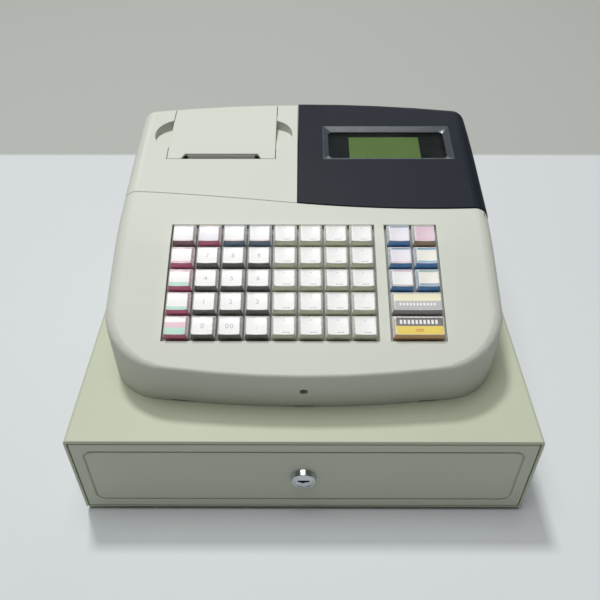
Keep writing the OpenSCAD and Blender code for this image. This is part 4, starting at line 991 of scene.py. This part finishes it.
class REGISTER_OT_printer(Undoable, bpy.types.Operator):
    """Printer frame with its head, motor, gears, platen, tear bar and paper roll"""
    bl_idname = "register.printer"
    bl_label = "Printer"

    def execute(self, context):
        s = sizes()
        dress("printer_frame", "frame", s.small_edge)
        dress("print_head", "aluminium", s.small_edge)
        paint("steel", "paper_motor")
        paint("brass", "motor_pinion")
        low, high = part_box("platen_roller")
        axis = (low + high) / 2 / MM
        dress("platen_roller", "platen", s.small_edge,
              [("steel", lambda c: math.hypot(c.y - axis.y, c.z - axis.z) < SHAFT_REACH)])
        paint("nylon", "platen_gear")
        dress("tear_bar", "steel", 0)
        dress("paper_roll", "paper", s.sheet_edge, origin=sum(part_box("paper_roll"), Vector()) / 2)
        self.lead_paper()
        return {"FINISHED"}

    def lead_paper(self):
        """The end of the paper, from the roll under the platen and up through the slot."""
        (low, high), (under, over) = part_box("paper_roll"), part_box("platen_roller")
        roll, platen = (low + high) / 2, (under + over) / 2
        space, thick, edge = 0.1 * MM, 0.06 * MM, 0.4 * MM
        around, turn = (high.y - low.y) / 2 + space, (over.y - under.y) / 2 + space
        apart = Vector((platen.y - roll.y, platen.z - roll.z))
        lean = math.atan2(apart.y, apart.x) - math.acos((around + turn) / apart.length)
        path = [(roll.y + around * math.cos(lean), roll.z + around * math.sin(lean))]
        for step in range(13):
            angle = math.pi + lean * (1 - step / 12)
            path.append((platen.y + turn * math.cos(angle), platen.z + turn * math.sin(angle)))
        path.append((platen.y - turn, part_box("tear_bar")[1].z + 1.7 * MM))
        form = bmesh.new()
        rows = []
        for (y, z), (y0, z0), (y1, z1) in zip(path, path[:1] + path[:-1], path[1:] + path[-1:]):
            off = Vector((0, z1 - z0, y0 - y1)).normalized() * thick
            left, right = low.x + edge, high.x - edge
            corners = ((left, -off), (right, -off), (right, off), (left, off))
            rows.append([form.verts.new(Vector((x, y, z)) + side) for x, side in corners])
        for near, far in zip(rows, rows[1:]):
            for i in range(4):
                form.faces.new((near[i], near[(i + 1) % 4], far[(i + 1) % 4], far[i]))
        form.faces.new(rows[0])
        form.faces.new(rows[-1])
        mesh = mesh_of(form, "paper_end", ["thermal"])
        piece("paper_end", mesh, "print_head")


class REGISTER_OT_electrics(Undoable, bpy.types.Operator):
    """Main board, rear sockets and power rocker"""
    bl_idname = "register.electrics"
    bl_label = "Electrics"

    def execute(self, context):
        s = sizes()
        # What stands on the main board is black, and the serial socket's outer shell is steel
        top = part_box("rear_sockets")[0].z / MM
        dress("main_board", "board", s.small_edge, [("black", lambda c: c.z > top + 0.05)])
        dress("rear_sockets", "black", s.small_edge,
              [("steel", lambda c: 78.5 < c.x < 97.5 and c.y > 132.2)])
        dress("power_switch", "black", 2 * s.small_edge)
        return {"FINISHED"}


# Lamps: name, place in metres, turn in degrees, size in metres, power in watts
LAMPS = (
    ("overhead_light", (-0.35, -0.3, 3.4), (5, -6, 0), (2.0, 2.0), 61),
    ("rear_key_light", (-0.6, 1.05, 3.4), (-17, -10, 0), (0.4, 0.4), 59),
    ("rear_fill", (0.6, 2.6, 0.9), (-76, 0, -13), (1.2, 0.8), 5),
)
WORLD_STRENGTH = 0.11
# Half the floor's width, and where its paint gives way to the backdrop's grey, in metres
FLOOR_REACH = 4
FLOOR_END = (0.376, 0.382)
# The camera's place in mm, its turn, tilt and roll in degrees, and its focal length in mm
CAMERA_PLACE = (-0.8, -452.7, 471.4)
CAMERA_ANGLES = (0.30, 90 - 41.64, -0.14)
CAMERA_LENS = 40.63


class REGISTER_OT_stage(Undoable, bpy.types.Operator):
    """Floor, soft studio lights and the camera"""
    bl_idname = "register.stage"
    bl_label = "Stage"

    def execute(self, context):
        scene = context.scene
        mesh = bpy.data.meshes.new("floor")
        r = FLOOR_REACH
        mesh.from_pydata([(-r, -r, 0), (r, -r, 0), (r, r, 0), (-r, r, 0)], [], [(0, 1, 2, 3)])
        mesh.materials.append(self.floor_paint())
        placed("floor", mesh)
        for name, place, turn, size, power in LAMPS:
            lamp = bpy.data.lights.new(name, "AREA")
            lamp.shape = "RECTANGLE"
            lamp.size, lamp.size_y = size
            lamp.energy = power
            made = placed(name, lamp)
            made.location = place
            made.rotation_euler = [math.radians(a) for a in turn]
        world = bpy.data.worlds.new("Studio")
        world.use_nodes = True
        background = world.node_tree.nodes["Background"]
        background.inputs["Color"].default_value = (*linear("#eef1f3"), 1)
        background.inputs["Strength"].default_value = WORLD_STRENGTH
        scene.world = world
        scene.view_settings.view_transform = "Standard"
        lens = bpy.data.cameras.new("camera")
        lens.sensor_width = 36
        lens.lens = CAMERA_LENS
        camera = placed("camera", lens)
        turn, tilt, roll = (math.radians(a) for a in CAMERA_ANGLES)
        camera.matrix_world = (Matrix.Translation(metres(*CAMERA_PLACE))
                               @ Matrix.Rotation(turn, 4, "Z") @ Matrix.Rotation(tilt, 4, "X")
                               @ Matrix.Rotation(roll, 4, "Z"))
        scene.camera = camera
        return {"FINISHED"}

    def floor_paint(self):
        """Pale matt paint with very slow changes of tone, and the backdrop's grey behind it."""
        tones = colours()
        material, tree, shader, place = begin("Matt floor paint", tones.floor, 0.9)
        along = add(tree, "SeparateXYZ", {}, {0: place}).outputs[1]
        start, end = FLOOR_END
        share = add(tree, "MapRange", {"From Min": start, "From Max": end}, {"Value": along})
        base = add(tree, "Mix", {"data_type": "RGBA", 7: (*tones.wall, 1)},
                   {0: share, 6: drift(tree, place, tones.floor, 700, 0.985, 1.01)}).outputs[2]
        feed(tree, shader, {"Base Color": base})
        return material


OPERATORS = (REGISTER_OT_case, REGISTER_OT_drawer, REGISTER_OT_runners, REGISTER_OT_lock,
             REGISTER_OT_latch, REGISTER_OT_casing, REGISTER_OT_covers, REGISTER_OT_display,
             REGISTER_OT_customer_display, REGISTER_OT_keyboard, REGISTER_OT_keys,
             REGISTER_OT_printer, REGISTER_OT_electrics, REGISTER_OT_stage)


class REGISTER_PT_panel(bpy.types.Panel):
    """Lists the register's parts and its sizes and colours"""
    bl_idname = "REGISTER_PT_panel"
    bl_label = "Ticket register"
    bl_space_type = "VIEW_3D"
    bl_region_type = "UI"
    bl_category = "Register"

    def draw(self, context):
        for operator in OPERATORS:
            self.layout.operator(operator.bl_idname)
        for group in (context.scene.register_sizes, context.scene.register_colours):
            box = self.layout.box()
            for name in group.__annotations__:
                box.prop(group, name)


CLASSES = (RegisterSizes, RegisterColours, *OPERATORS, REGISTER_PT_panel)


def register():
    for entry in CLASSES:
        bpy.utils.register_class(entry)
    bpy.types.Scene.register_sizes = PointerProperty(type=RegisterSizes)
    bpy.types.Scene.register_colours = PointerProperty(type=RegisterColours)


def unregister():
    del bpy.types.Scene.register_colours
    del bpy.types.Scene.register_sizes
    for entry in reversed(CLASSES):
        bpy.utils.unregister_class(entry)


def main():
    register()
    for operator in OPERATORS:
        getattr(bpy.ops.register, operator.bl_idname.split(".")[1])()
    bpy.context.view_layer.update()


if __name__ == "__main__":
    main()
